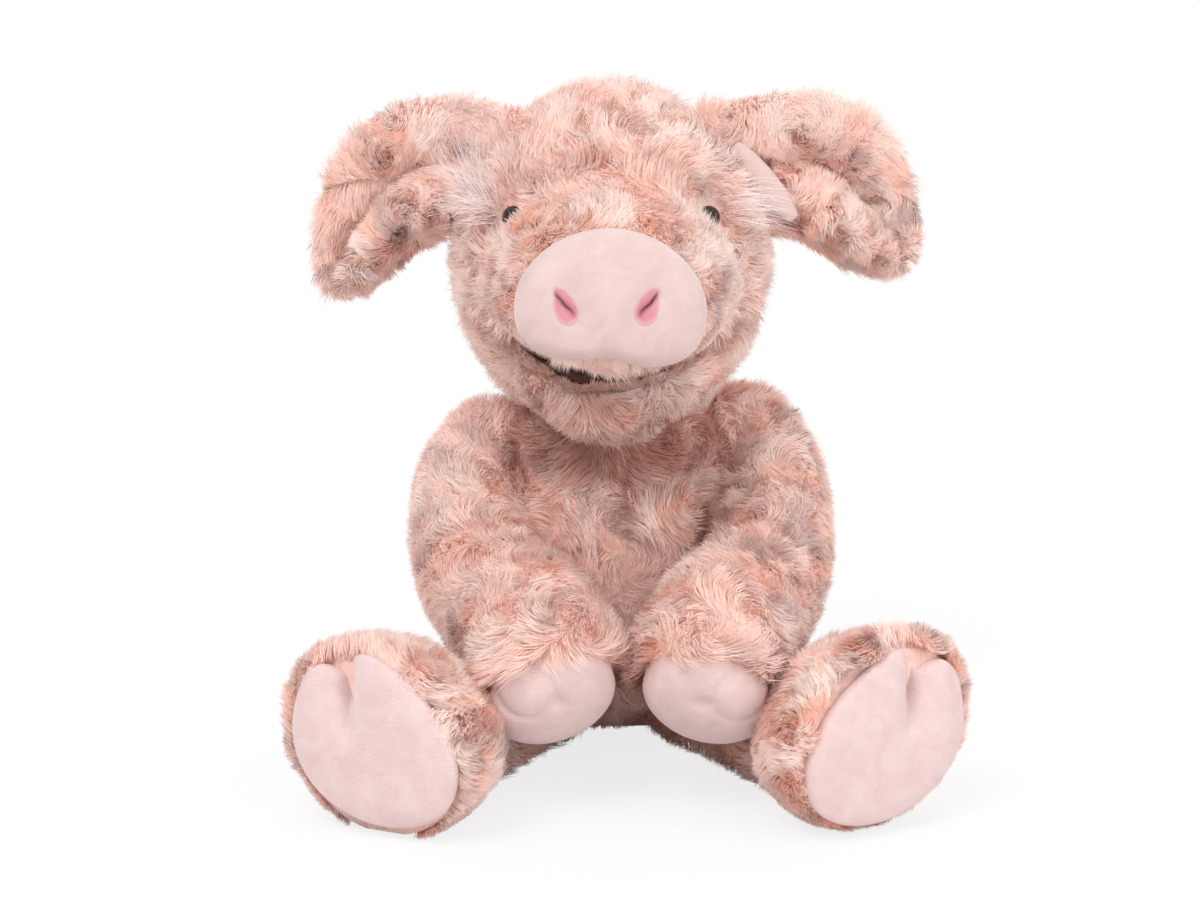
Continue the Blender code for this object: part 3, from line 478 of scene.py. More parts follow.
def pear(up, around):
    """The body: x = W w(up) cos a, y = D d(up) sin a + lean, z = up height, with D by side."""
    width, front, back, lean = eased(body_rows, up)
    depth = np.where(np.sin(around) > 0, body_back * back, body_front * front)
    across = body_width / 2 * width * np.cos(around)
    ahead = depth * np.sin(around) + body_lean * lean
    return np.stack((across, ahead, up * body_height + 0 * around), -1) + seat


up, around = rings(0.004, 1.0, 72, 96)
body_grid = pear(up, around)
sewn("body_bag", body_grid - outward_of(body_grid) * bag_inset, "body", "fur", backing,
     "body_cover", fill=0.75)
body_core = lumpy(body_grid[14:], fur_cloth + wadding_gap, 0.0008, 11)
sewn("body_wadding", body_core, "body", "stuffing", wadding, "body_stuffing", fill=0.75)


def brushed_down(root, outward, chart):
    """The way the body's fur lies: down, and out from the chest's seam."""
    aside = root[:, 0] - seat[0]
    apart = np.sign(aside) * bell(aside, 0.012)
    return np.column_stack((0.9 * apart, 0 * apart, -1.0 + 0 * apart))


def beside_seam(grid, outward):
    """Fewer roots along the chest's seam, and none on the flat bottom's middle."""
    seam = bell(grid[..., 0] - seat[0], 0.0016) * (grid[..., 1] < seat[1])
    bottom = 0.001 + 0.007 * (grid[..., 1] < seat[1])
    return (1 - 0.55 * seam * smooth_step(0.035, 0.06, grid[..., 2])) * (grid[..., 2] > bottom)


def darker_chest(root):
    """Darker under the chin, partly a browner dye and partly painted shade under the head; painted
    shade low between the legs and in the seam's crease.
    """
    front = smooth_step(0.01, -0.03, root[:, 1] - seat[1])
    chin = smooth_step(0.100, 0.120, root[:, 2])
    seam = bell(root[:, 0] - seat[0], 0.0032) * smooth_step(0.08, 0.105, root[:, 2])
    low = smooth_step(0.050, 0.012, root[:, 2])
    return front * np.maximum(np.maximum(0.42 * chin, 0.16 * low), 0.72 * seam)


def short_at_floor(root, outward, chart):
    """Pile of 9.8 mm, pressed to 3 mm at the bottom."""
    return 0.0030 + 0.0068 * smooth_step(0.004, 0.026, root[:, 2])


grow_pile("body_pile", "body", body_grid, 64000, short_at_floor, brushed_down, 21, swirl=1.4,
          keep=beside_seam, darkening=darker_chest)
bean_top, pouch_gap = 0.022, 0.0012
bean_grid = pear(*rings(0.03, bean_top / body_height, 12, 96))
sewn("bean_pouch", lumpy(bean_grid, fur_cloth + pouch_gap, 0.0005, 12), "body", "bean_bag",
     wadding, "bean_bag", fill=0.6)

# The head is a second fur bag, round cheeked, stuffed with fibre and sewn to the body's neck.
# Its pile is brushed away from the snout. It is kept short of the eyes, so that they show.
seam_gap = 0.0003
head_height, head_width, head_front, head_back = 0.121, 0.115, 0.053, 0.052
head_middle = seat + np.array((neck_side, -neck_ahead, neck_height + seam_gap))
head_rows = (
    (0.000, 0.42, 0.46, 0.54), (0.070, 0.60, 0.66, 0.68), (0.150, 0.74, 0.80, 0.80),
    (0.250, 0.865, 0.90, 0.90), (0.360, 0.935, 0.96, 0.97), (0.470, 0.965, 0.985, 1.00),
    (0.580, 0.95, 0.975, 0.99), (0.690, 0.88, 0.92, 0.94), (0.790, 0.75, 0.80, 0.83),
    (0.880, 0.56, 0.60, 0.64), (0.950, 0.35, 0.38, 0.42), (0.985, 0.18, 0.20, 0.22),
    (1.000, 0.03, 0.03, 0.03),
)


def skull(up, around):
    """The head: x = W w(up) cos a, y = D d(up) sin a with D by side, z = up height."""
    width, front, back = eased(head_rows, up)
    depth = np.where(np.sin(around) > 0, head_back * back, head_front * front)
    across = head_width / 2 * width * np.cos(around)
    lift = up * head_height + 0 * around
    return np.stack((across, depth * np.sin(around), lift), -1) + head_middle


def face_point(side, lift):
    """The front of the head: y = -D d(lift) sqrt(1 - (side / half width)^2)."""
    width, front, _ = eased(head_rows, np.asarray(lift) / head_height)
    share = side / (head_width / 2 * width)
    ahead = -head_front * front * np.sqrt(np.maximum(1 - share**2, 0.0))
    return np.stack((side + 0 * ahead, ahead, lift + 0 * ahead), -1) + head_middle


def face_outward(side, lift, step=0.0004):
    """The outward direction of the face, from its differences to the side and up."""
    across = face_point(side + step, lift) - face_point(side - step, lift)
    upward = face_point(side, lift + step) - face_point(side, lift - step)
    return unit(np.cross(across, upward))


head_up, around = rings(0.0, 1.0, 80, 96)
head_grid = skull(1 - (1 - head_up) ** 1.15, around)
sewn("head_bag", head_grid - outward_of(head_grid) * bag_inset, "head", "fur", backing,
     "head_cover", fill=0.85)
head_core = lumpy(head_grid[4:-8], fur_cloth + pouch_gap, 0.0006, 13)
sewn("head_wadding", head_core, "head", "stuffing", wadding, "head_stuffing", fill=0.85)
eye_spread, eye_lift, eye_diameter = 0.0358, 0.078, 0.0085
snout_width, snout_height, snout_lift = 0.068, 0.051, 0.0535
snout_ahead, snout_depth = 0.101 - neck_ahead, 0.020
snout_middle = head_middle + np.array((0.0, -snout_ahead, snout_lift))
eyes = {side: face_point(sign * eye_spread, eye_lift) for side, sign in sides.items()}


def from_snout(root, outward, chart):
    """The way the head's fur lies: away from the snout in front, and down behind."""
    away = root - snout_middle + np.array((0.0, 0.02, 0.0))
    front = smooth_step(0.03, -0.02, root[:, 1] - head_middle[1])[:, None]
    return unit(away) * front * 0.9 + np.array((0.0, 0.0, -0.6)) * (1 - front)


def from_eyes(places):
    """How far places are from the nearer eye."""
    return np.minimum(*(np.linalg.norm(places - eye, axis=-1) for eye in eyes.values()))


def clear_of_eyes(grid, outward):
    """No roots at the eyes, behind the muzzle or inside the neck."""
    offset = grid - snout_middle
    inside = np.hypot(offset[..., 0] / snout_width, offset[..., 2] / snout_height) < 0.43
    hidden = inside & (grid[..., 1] < head_middle[1])
    shown = ~hidden * (grid[..., 2] > head_middle[2] + 0.002)
    return smooth_step(0.0044, 0.0062, from_eyes(grid)) * shown


def short_at_eyes(root, outward, chart):
    """Pile of 10 mm that shortens to 4.5 mm round the eyes."""
    return 0.0045 + 0.0055 * smooth_step(0.006, 0.018, from_eyes(root))


mouth_half, mouth_rise, mouth_lift = 0.036, 0.011, 0.0216


def smile_line(root):
    """The shaded crease z = z0 + (x / a)^2 h that carries the mouth's line into the cheeks, and
    the shade behind the muzzle's roll."""
    aside = (root[:, 0] - head_middle[0]) / mouth_half
    height = head_middle[2] + 0.0205 + mouth_rise * aside**2
    front = smooth_step(0.0, -0.012, root[:, 1] - head_middle[1])
    line = bell(root[:, 2] - height, 0.0042) * smooth_step(1.5, 1.1, np.abs(aside))
    across = (root[:, 0] - head_middle[0]) / (snout_width / 2)
    above = (root[:, 2] - head_middle[2] - snout_lift) / (snout_height / 2)
    far = np.hypot(across, above)
    ring = 1.45 + 0.27 * (above / far) ** 2
    roll = bell(far - ring, 0.10) * smooth_step(0.1, 0.6, above)
    return front * np.maximum(0.34 * line, 0.20 * roll)


grow_pile("head_pile", "head", head_grid, 66000, short_at_eyes, from_snout, 22, 0.015,
          keep=clear_of_eyes, darkening=smile_line)

# The muzzle is a short sleeve of the same fur that carries the snout.
# The snout is a stuffed velour oval, notched at the bottom and pulled in at each nostril.
muzzle_rows = ((0.00, 1.26), (0.30, 1.22), (0.65, 1.13), (0.90, 0.99), (1.00, 0.86))
muzzle_rise, muzzle_start = 0.0065, head_front / 2
snout_turn, notch_share, notch_turn, snout_taper = np.radians(5.0), 0.19, np.radians(20.0), 0.10
lobe_share, lobe_turn = 0.055, np.radians(50.0)


def snout_ring(ahead, size, rise, around):
    """The snout's heart-like outline: x = W cos a (1 - k sin a) r, z = H sin a r, turned a little,
    with r = size (1 - notch exp(-(a below / turn)^2)), and fuller where its two lobes hang."""
    below = (around + np.pi / 2 + np.pi) % whole_turn - np.pi
    lobes = lobe_share * bell(np.abs(below) - lobe_turn, np.radians(22.0))
    reach = (1 + lobes - notch_share * bell(below, notch_turn)) * size
    side = snout_width / 2 * np.cos(around) * reach * (1 - snout_taper * np.sin(around))
    lift = snout_height / 2 * np.sin(around) * reach
    turned = side * np.cos(snout_turn) + lift * np.sin(snout_turn)
    raised = lift * np.cos(snout_turn) - side * np.sin(snout_turn)
    return np.stack((turned, -ahead + 0 * side, raised + rise + snout_lift), -1) + head_middle


place, around = rings(0, 1, 30, 140)
muzzle_end = snout_ahead - snout_depth
muzzle_grid = snout_ring(
    muzzle_start + (muzzle_end - muzzle_start) * place, eased(muzzle_rows, place)[0],
    muzzle_rise * (1 - place), around,
)
sewn("muzzle_bag", muzzle_grid, "head", "fur", backing, "muzzle", fill=0.8)


def over_snout(root, outward, chart):
    """The muzzle's fur lies forward round the snout's rim, and down below it."""
    below = smooth_step(0.0, -0.02, root[:, 2] - snout_middle[2])[:, None]
    return np.array((0.0, -0.55, 0.0)) * (1 - below) + np.array((0.0, -0.2, -1.0)) * below


def off_the_head(grid, outward):
    """Roots only where the muzzle is clear of the head."""
    return 1.0 * (grid[..., 1] < snout_middle[1] + snout_depth + 0.030)


def lip_length(root, outward, chart):
    """Pile of 9 mm above the snout, 12 mm in the lip's tuft below its notch, and short beside."""
    below = smooth_step(0.0, -0.016, root[:, 2] - snout_middle[2])
    tuft = bell(root[:, 0] - snout_middle[0], 0.013)
    return 0.0088 * (1 - below) + (0.0034 + 0.0090 * tuft) * below


def inside_mouth(root):
    """The fur at the mouth's line is darkened with painted shade."""
    below = smooth_step(-0.014, -0.024, root[:, 2] - snout_middle[2])
    tuft = bell(root[:, 0] - snout_middle[0], 0.015, 4)
    left = 0.16 + 0.16 * smooth_step(0.005, -0.012, root[:, 0] - snout_middle[0])
    return left * below * (1 - tuft * smooth_step(-0.030, -0.040, root[:, 1]))


grow_pile("muzzle_pile", "head", muzzle_grid, 24000, lip_length, over_snout, 23,
          keep=off_the_head, pull=0.18, lean=46.0, swirl=0.6, darkening=inside_mouth)


def lip_hair(name, root, heading, long, sag, outward, shade, locked, random):
    """Strands of the mouth's lips: root + L heading, with a sagging middle."""
    count = len(root)
    reach = unit(heading) * long[:, None]
    chart = np.column_stack((locked, random.random(count)))
    made = strand_mesh(name, root, root + reach * 0.5 + sag, root + reach,
                       np.full(count, 0.00026), unit(outward), shade, chart,
                       random.normal(size=count) * 0.5)
    return dress(made, "head", "fur", long_fur)


def upper_lip(count=3200, locks=90):
    """The upper lip's hair below the snout's notch: root + L (spread x, -.3 y, -.9 z)."""
    random = np.random.default_rng(29)
    across = np.clip(random.normal(size=locks) * 0.45, -1, 1)
    lock = random.integers(0, locks, count)
    side = across[lock] + random.normal(size=count) * 0.05
    depth = random.random(locks)[lock] + random.normal(size=count) * 0.06
    turn = -np.pi / 2 + np.arctan(side * 0.016 / (snout_height / 2))
    root = snout_ring(muzzle_end - 0.014 * depth, 0.80 + 0.06 * depth, 0.0, turn)
    long = 0.0105 * (0.7 + 0.3 * random.random(locks))[lock] * (0.85 + 0.3 * random.random(count))
    heading = np.column_stack((
        side * 0.35 + random.normal(size=count) * 0.06,
        -0.30 - 0.25 * random.random(locks)[lock], -0.90 + 0 * side,
    ))
    outward = np.column_stack((side * 0.3, -0.9 + 0 * side, -0.25 + 0 * side))
    shade = 0.60 + 0.4 * random.random(locks)[lock]
    lip_hair("lip_tuft", root, heading, long, (0.0, -0.0008, 0.0), outward, shade, lock / locks,
             random)


upper_lip()

snout_rows = (
    (0.00, -0.06, 0.80), (0.06, 0.02, 0.93), (0.14, 0.16, 0.99), (0.22, 0.32, 1.00),
    (0.32, 0.50, 0.985), (0.42, 0.67, 0.94), (0.52, 0.80, 0.86), (0.62, 0.89, 0.75),
    (0.74, 0.95, 0.57), (0.86, 0.985, 0.33), (1.00, 1.00, 0.01),
)
nostril_side, nostril_shift, nostril_lean = 0.0146, -0.0018, np.radians(20.0)
nostril_width, nostril_length = 0.0088, 0.0158


def nostril_middle(sign):
    """Where a nostril's patch is on the snout's face."""
    return snout_middle + np.array((sign * nostril_side + nostril_shift, 0.0, 0.0))


def nostril_place(points, sign):
    """Side and height of points in a nostril's own leaning axes, in half widths and lengths."""
    offset = points - nostril_middle(sign)
    cos, sin = np.cos(nostril_lean), np.sin(nostril_lean) * sign
    side = offset[..., 0] * cos - offset[..., 2] * sin
    lift = offset[..., 0] * sin + offset[..., 2] * cos
    return side / (nostril_width / 2), lift / (nostril_length / 2)


def nostril_pull(points):
    """How far the snout's face is drawn in at its nostrils: a wide dent and a narrow pinch."""
    deep = 0.0
    for sign in sides.values():
        side, lift = nostril_place(points, sign)
        dent = bell(side, 1.25) * bell(lift, 1.2)
        pinch = bell(side - 0.35 * sign * np.sin(2.6 * lift), 0.24) * bell(lift - 0.06, 0.68, 4)
        deep = deep + 0.0016 * dent + 0.0024 * pinch
    return deep


def snout_surface(place, around):
    """The velour oval: outline by depth and size rows, drawn in by the nostrils' pull."""
    depth, size = eased(snout_rows, place)
    found = snout_ring(snout_ahead - snout_depth + snout_depth * depth, size, 0.0, around)
    found[..., 1] += nostril_pull(found) * smooth_step(0.35, 0.6, place)
    return found


def nap_group():
    """Velour's nap: a fine ribbed height, and soft cloudy shade where the nap is brushed."""
    tree, start, end = new_group(
        "velour_nap", {"Place": "Vector", "Ribs": "Float"}, {"Height": "Float", "Shade": "Float"}
    )
    place = start.outputs["Place"]
    weave = {"Vector": place, "Scale": 560.0, "Distortion": 0.9, "Detail": 2.0,
             "Detail Scale": 0.4}
    ribs = add_node(tree, "TexWave", weave, bands_direction="Z").outputs[1]
    fuzz = noise(tree, place, 2300.0, Detail=2.0, Roughness=0.7)
    cloud = noise(tree, place, 90.0, Detail=4.0, Roughness=0.6, Distortion=0.8)
    ribbed = result(tree, "Math", {0: ribs, 1: start.outputs["Ribs"]}, operation="MULTIPLY")
    mixed = result(tree, "Math", {0: fuzz, 1: 0.35, 2: cloud}, operation="MULTIPLY_ADD")
    set_inputs(tree, end, {
        "Height": result(tree, "Math", {0: ribbed, 1: fuzz}, operation="ADD"),
        "Shade": result(tree, "MapRange", {"Value": mixed, "From Min": 0.45, "From Max": 0.95}),
    })
    return tree


nap = nap_group()


def velour_material(name, dark, light, ribs, depth):
    """Short-pile velour between two shades, its nap's height as bump, with soft sheen."""
    made, tree, shader = new_material(name)
    spot = {"Place": own_place(tree), "Ribs": ribs}
    texture = add_node(tree, "Group", spot, node_tree=nap).outputs
    set_inputs(tree, shader, {
        "Base Color": blended(tree, texture["Shade"], dark, light),
        "Normal": bumped(tree, texture["Height"], 0.45, depth), "Roughness": 0.85,
        "Specular IOR Level": 0.2, "Sheen Weight": 0.35, "Sheen Roughness": 0.5,
    })
    return made


lilac_velour = velour_material(
    "lilac_velour", (0.60, 0.43, 0.41, 1.0), (0.69, 0.53, 0.51, 1.0), 0.25, 0.00016
)
nostril_velour = velour_material(
    "nostril_velour", (0.58, 0.21, 0.25, 1.0), (0.68, 0.32, 0.37, 1.0), 0.1, 0.00012
)


def shade_darts(material):
    """The patch is darkened along its dart with painted shade for the pinched slit, and pales where
    its pile meets the snout's.
    """
    tree = material.node_tree
    shader = tree.nodes["Principled BSDF"]
    plain = shader.inputs["Base Color"].links[0].from_socket
    pale = blended(tree, attribute(tree, "rim"), plain, (0.66, 0.46, 0.46, 1.0))
    dark = blended(tree, attribute(tree, "dart"), pale, (0.16, 0.025, 0.035, 1.0))
    set_inputs(tree, shader, {"Base Color": dark})


shade_darts(nostril_velour)
sewn("snout_pad", snout_surface(*rings(0, 1, 150, 260)), "head", "velour", lilac_velour, "snout",
     fill=0.9)


def nostril_patch(side, sign):
    """A drop-shaped patch on the snout's face: its rim is tucked under, its middle lies on it."""
    share, turn = rings(0.02, 1.0, 26, 72)
    across = nostril_width / 2 * share * np.cos(turn) * (1 - 0.30 * np.sin(turn))
    lift = nostril_length / 2 * share * np.sin(turn)
    cos, sin = np.cos(nostril_lean), np.sin(nostril_lean) * sign
    offset = np.stack((across * cos + lift * sin, 0 * lift, lift * cos - across * sin), -1)
    points = nostril_middle(sign) + offset
    plain = snout_surface(*rings(0.4, 1, 60, 120)).reshape(-1, 3)
    flat = points.reshape(-1, 3)
    apart = np.hypot(flat[:, None, 0] - plain[None, :, 0], flat[:, None, 2] - plain[None, :, 2])
    near = np.argpartition(apart, 6, axis=1)[:, :6]
    weight = 1 / (np.take_along_axis(apart, near, 1) + 1e-5) ** 2
    depth = (plain[near, 1] - nostril_pull(plain[near])) * weight
    level = (depth.sum(1) / weight.sum(1)).reshape(share.shape)
    tucked = smooth_step(0.86, 1.0, share)
    front = points.copy()
    front[..., 1] = level + nostril_pull(points) - 0.00035 * (1 - tucked) + 0.0004 * tucked
    back = front[::-1] + np.array((0.0, 0.0011, 0.0))
    patch = shell_of("nostril_patch_" + side, np.concatenate((front, back)))
    across, along = nostril_place(points, sign)
    line = across - 0.35 * sign * np.sin(2.6 * along) - 0.07 * np.sin(9.0 * along + sign)
    # The dart mask carries painted shade along the nostril's pinch.
    dart = bell(line, 0.12) * bell(along - 0.05, 0.62, 4)
    for label, values in (("dart", 0.85 * dart), ("rim", 0.85 * smooth_step(0.62, 1.0, share))):
        filled = np.zeros(len(patch.data.vertices))
        filled[: values.size] = values.ravel()
        mark(patch.data, label, filled)
    dress(patch, "head", "nostril", nostril_velour, "nostril_" + side)


for side, sign in sides.items():
    nostril_patch(side, sign)

# The lower jaw is a small fur pad below the mouth's dark gap, stuffed by itself and sewn to
# the head. Its fur is brushed down, and kept off its top, where the mouth is.
jaw_width, jaw_length, jaw_height, jaw_lift, jaw_ahead = 0.070, 0.058, 0.028, 0.0145, 0.036
jaw_middle = head_middle + np.array((0.0, neck_ahead - jaw_ahead, jaw_lift - seam_gap))
jaw_rows = (
    (-1.0, 0.02), (-0.96, 0.34), (-0.80, 0.64), (-0.45, 0.90), (0.00, 1.00), (0.45, 0.98),
    (0.80, 0.82), (0.96, 0.50), (1.0, 0.02),
)
rise, around = rings(-np.pi / 2, np.pi / 2, 40, 90)
rise = np.sin(rise)
jaw_size = eased(jaw_rows, rise)[0]
jaw_curve = 0.015 * np.cos(around) ** 2 - 0.0055
jaw_grid = jaw_middle + np.stack((
    jaw_width / 2 * jaw_size * np.cos(around), jaw_length / 2 * jaw_size * np.sin(around),
    jaw_height / 2 * rise + jaw_curve * jaw_size,
), -1)
sewn("jaw_bag", jaw_grid, "head", "fur", backing, "lower_jaw", fill=0.7)


def chin_only(grid, outward):
    """Roots on the jaw's front and underside."""
    front = grid[..., 1] < jaw_middle[1] + 0.012
    return front * smooth_step(0.93, 0.72, outward[..., 2]) * (grid[..., 2] > head_middle[2])


def brushed_chin(root, outward, chart):
    """The chin's fur lies down and outwards, and stands up at the lip."""
    aside = (root[:, 0] - jaw_middle[0]) / jaw_width
    lip = smooth_step(0.15, 0.60, outward[:, 2])
    return np.column_stack((aside * 1.5, -0.2 - 0.2 * lip, -0.9 + 1.5 * lip))


def chin_shade(root):
    """The chin's fur is darkened with painted shade toward its underside and at the mouth's gap."""
    place = (root[:, 0] - head_middle[0]) / mouth_half
    below = root[:, 2] - head_middle[2] - mouth_lift - mouth_rise * place**2
    gap = bell(below, 0.0055) * (0.20 + 0.16 * smooth_step(0.3, -0.4, place))
    return np.maximum(0.20 * smooth_step(0.012, -0.004, root[:, 2] - jaw_middle[2]), gap)


grow_pile("jaw_pile", "head", jaw_grid, 17000, 0.0085, brushed_chin, 24, keep=chin_only,
          pull=0.20, lean=54.0, swirl=0.6, darkening=chin_shade)


def mouth_point(place):
    """The mouth's line across the head: x = W s, y = y0 + b s^2, z = z0 + h s^2."""
    bend = place**2
    line = mouth_half * place, -0.0585 + 0.018 * bend, mouth_lift + mouth_rise * bend
    return head_middle + np.stack(line, -1)


def mouth_open(place):
    """Half of the gap's height along the mouth: widest right of the middle."""
    return 0.0014 + 0.0022 * bell(place + 0.40, 0.18)


# A near-black cloth tube along the mouth's line is painted shadow: it stands in for the shade
# between muzzle and jaw.
place, turn = rings(-1, 1, 90, 32)
gap = mouth_open(place) * np.sqrt(1 - 0.98 * place**2)
gap = gap * (0.15 + 0.85 * smooth_step(-0.98, -0.55, place))
mouth_round = np.stack((0 * turn, 1.6 * np.sin(turn), np.cos(turn)), -1)
mouth_shadow_cloth = backing_material("mouth_shadow_cloth", (0.06, 0.030, 0.024))
sewn("mouth_gap_shadow", mouth_point(place) + gap[..., None] * mouth_round, "head", "fur", mouth_shadow_cloth,
     fill=0.3)


def lower_lip(count=3600, locks=150):
    """The lower lip's hair under the mouth's gap: root + L (spread x, -.6 y, rise z)."""
    random = np.random.default_rng(31)
    lock = random.integers(0, locks, count)
    side = random.uniform(-0.93, 0.93, locks)[lock] + random.normal(size=count) * 0.02
    gap, deep = mouth_open(side), random.random(count)
    under = np.column_stack((0 * side, 0.001 * deep - 0.9 * gap, -0.92 * gap - 0.0024 * deep))
    long = 0.0036 * (0.5 + 0.8 * random.random(locks))[lock] * (0.8 + 0.4 * random.random(count))
    heading = np.column_stack((
        side * 0.4 + (random.normal(size=locks) * 0.30)[lock] + random.normal(size=count) * 0.10,
        -0.60 + 0 * side, (0.05 + 0.50 * random.random(locks))[lock],
    ))
    outward = np.column_stack((side * 0.4, -0.8 + 0 * side, 0.3 + 0 * side))
    # The fringe's shade sits below the full one: painted shade at the mouth's gap.
    shade = -0.75 + 0.55 * random.random(locks)[lock] + 0.30 * random.random(count)
    lip_hair("lip_fringe", mouth_point(side) + under, heading, long, (0.0, -0.0006, -0.0004),
             outward, shade, lock / locks, random)


lower_lip()

# The eyes are dark glossy beads of plastic. A shank goes through the cloth into a washer,
# which is pressed on behind it and holds the bead down on the fur.
bead_rows = (
    (0.00, -0.0070, 0.0009), (0.10, -0.0004, 0.0009), (0.20, -0.0002, 0.0038),
    (0.32, 0.0006, 0.00425), (0.50, 0.0022, 0.0036), (0.68, 0.0031, 0.0025),
    (0.85, 0.0035, 0.0012), (1.00, 0.0036, 0.00003),
)
bead_plastic, tree, shader = new_material("bead_plastic")
smudge = noise(tree, own_place(tree), 900.0)
set_inputs(tree, shader, {
    "Base Color": blended(tree, smudge, (0.016, 0.007, 0.005, 1.0), (0.034, 0.016, 0.012, 1.0)),
    "Roughness": result(tree, "MapRange", {"Value": smudge, "To Min": 0.05, "To Max": 0.12}),
    "Coat Weight": 0.15, "Specular IOR Level": 0.35,
})
washer_plastic, tree, shader = new_material("washer_plastic")
grain = noise(tree, own_place(tree), 1500.0)
set_inputs(tree, shader, {
    "Base Color": blended(tree, grain, (0.78, 0.78, 0.76, 1.0), (0.88, 0.88, 0.86, 1.0)),
    "Normal": bumped(tree, grain, 0.2, 0.0001), "Roughness": 0.5,
})
for side, sign in sides.items():
    out = face_outward(sign * eye_spread, eye_lift)
    across = unit(np.cross(out, (0.0, 0.0, 1.0)))
    place, turn = rings(0, 1, 44, 48)
    rise, radius = eased(bead_rows, place)
    bead = eyes[side] + out * rise[..., None] + radius[..., None] * (
        across * np.cos(turn)[..., None] + np.cross(out, across) * np.sin(turn)[..., None]
    )
    sewn("eye_bead_" + side, bead, "head", "bead", bead_plastic, "eye_" + side)
    for slot in bpy.data.objects["eye_washer_" + side].material_slots:
        slot.material = washer_plastic

# The lash tufts are long straight pale hair, each sewn in beside an eye.
# One fans up and out over the ear's root, the other lies flat across it.
lash_hair, tree, shader = new_material("lash_hair")
pale = blended(tree, attribute(tree, "shade"), (0.93, 0.80, 0.79, 1.0), (0.98, 0.92, 0.90, 1.0))
faded = blended(tree, attribute(tree, "along"), (0.95, 0.72, 0.68, 1.0), pale)
set_inputs(tree, shader, {
    "Base Color": faded, "Alpha": let_light_through(tree, 0.6), "Roughness": 0.5,
    "Sheen Weight": 0.2,
})
light_far_side(tree, shader, faded)
lash_fans = {
    "right": ((90.0, 122.0, 0.031, 150, 7), (150.0, 206.0, 0.024, 200, 10)),
    "left": ((-22.0, 10.0, 0.022, 220, 9),),
}
hair_width = 0.00014


def lash_tuft(name, sign, fans, seed):
    """Hair from a patch beside the eye: root + L (cos t x + sin t z + bend outward), with the
    headings t of each fan gathered into locks."""
    random = np.random.default_rng(seed)
    angle, long = [], []
    for first, last, reach, count, locks in fans:
        lock = random.integers(0, locks, count)
        share = (np.arange(locks) + random.random(locks)) / locks
        turn = np.radians(first + (last - first) * share)[lock]
        angle.append(turn + random.normal(size=count) * 0.07)
        long.append(reach * (0.7 + 0.45 * random.random(locks))[lock])
    angle, long = np.concatenate(angle), np.concatenate(long)
    count = len(angle)
    side = sign * (eye_spread + eye_diameter / 2 + 0.0075 * random.random(count))
    lift = eye_lift + 0.0036 * random.normal(size=count) + 0.004
    root, outward = face_point(side, lift), face_outward(side, lift)
    heading = np.column_stack((np.cos(angle), 0 * angle, np.sin(angle)))
    long = (long * (0.6 + 0.5 * random.random(count)))[:, None]
    middle = root + heading * long * 0.45 + outward * long * 0.20
    tip = root + heading * long + outward * long * 0.16
    width, shade = np.full(count, hair_width), random.random(count)
    chart = random.random((count, 2))
    twist = random.normal(size=count)
    return strand_mesh(name, root, middle, tip, width, outward, shade, chart, twist)


for seed, (side, sign) in enumerate(sides.items()):
    tuft = lash_tuft("lash_hair_" + side, sign, lash_fans[side], 31 + seed)
    dress(tuft, "head", "lash", lash_hair, "lash_tuft_" + side)

# Each ear is a floppy leaf: fur in front with a rolled ridge along its lower edge, and velour
# behind. It is gathered where it is sewn into the head's side.
ear_root_lift, ear_tilt, ear_out, ear_drop = 0.0925, np.radians(30.0), 0.047, 0.071
ear_rows = (
    (0.00, -0.324, 0.00, 0.324, 0.00), (0.14, -0.26, 0.30, 0.37, 0.06),
    (0.30, -0.17, 0.60, 0.45, 0.16), (0.48, 0.02, 0.90, 0.56, 0.24),
    (0.64, 0.30, 1.00, 0.69, 0.30), (0.78, 0.56, 0.98, 0.80, 0.37),
    (0.90, 0.80, 0.86, 0.91, 0.45), (0.97, 0.94, 0.72, 0.97, 0.54),
    (1.00, 1.00, 0.63, 1.00, 0.63),
)
ear_lean, ear_corner = {"right": 0.0, "left": np.radians(9.0)}, {"right": 0.03, "left": 0.10}
fold_start, fold_end = np.array((0.0400, 0.0110, 0.2320)), np.array((0.0625, 0.0050, 0.2050))
root_width, _, _ = eased(head_rows, ear_root_lift / head_height)


def ear_leaf(sign, lean, corner, share, part, depth):
    """A leaf point: between the outer and inner edge rows by part, turned by lean share, and
    forward by the fold: a ridge exp(-((part - .78) / .16)^2), a valley and a lifted edge."""
    outer_drop, outer_out, inner_drop, inner_out = eased(ear_rows, share)
    drop = ear_drop * (outer_drop + (inner_drop - outer_drop) * part)
    fuller = corner * bell(share - 0.66, 0.20) * (1 - part) ** 2
    reach = ear_out * (outer_out + (inner_out - outer_out) * part + fuller)
    cos, sin = np.cos(lean * share), np.sin(lean * share)
    drop, reach = drop * cos - reach * sin, reach * cos + drop * sin
    middle = head_middle + np.array((sign * head_width / 2 * root_width, 0.0, ear_root_lift))
    down = np.array((sign * np.sin(ear_tilt), 0.0, -np.cos(ear_tilt)))
    out = np.array((sign * np.cos(ear_tilt), 0.0, np.sin(ear_tilt)))
    body = np.sin(np.pi * np.clip(share, 0, 1)) ** 0.6
    ridge, valley = bell(part - 0.78, 0.16), bell(part - 0.47, 0.12)
    forward = body * (0.0090 * ridge - 0.0055 * valley + 0.005 * (1 - part) ** 3)
    ahead = forward + depth * (1 + 1.6 * ridge * body)
    before = np.stack((0 * ahead, -ahead, 0 * ahead), -1)
    return middle + down * drop[..., None] + out * reach[..., None] + before


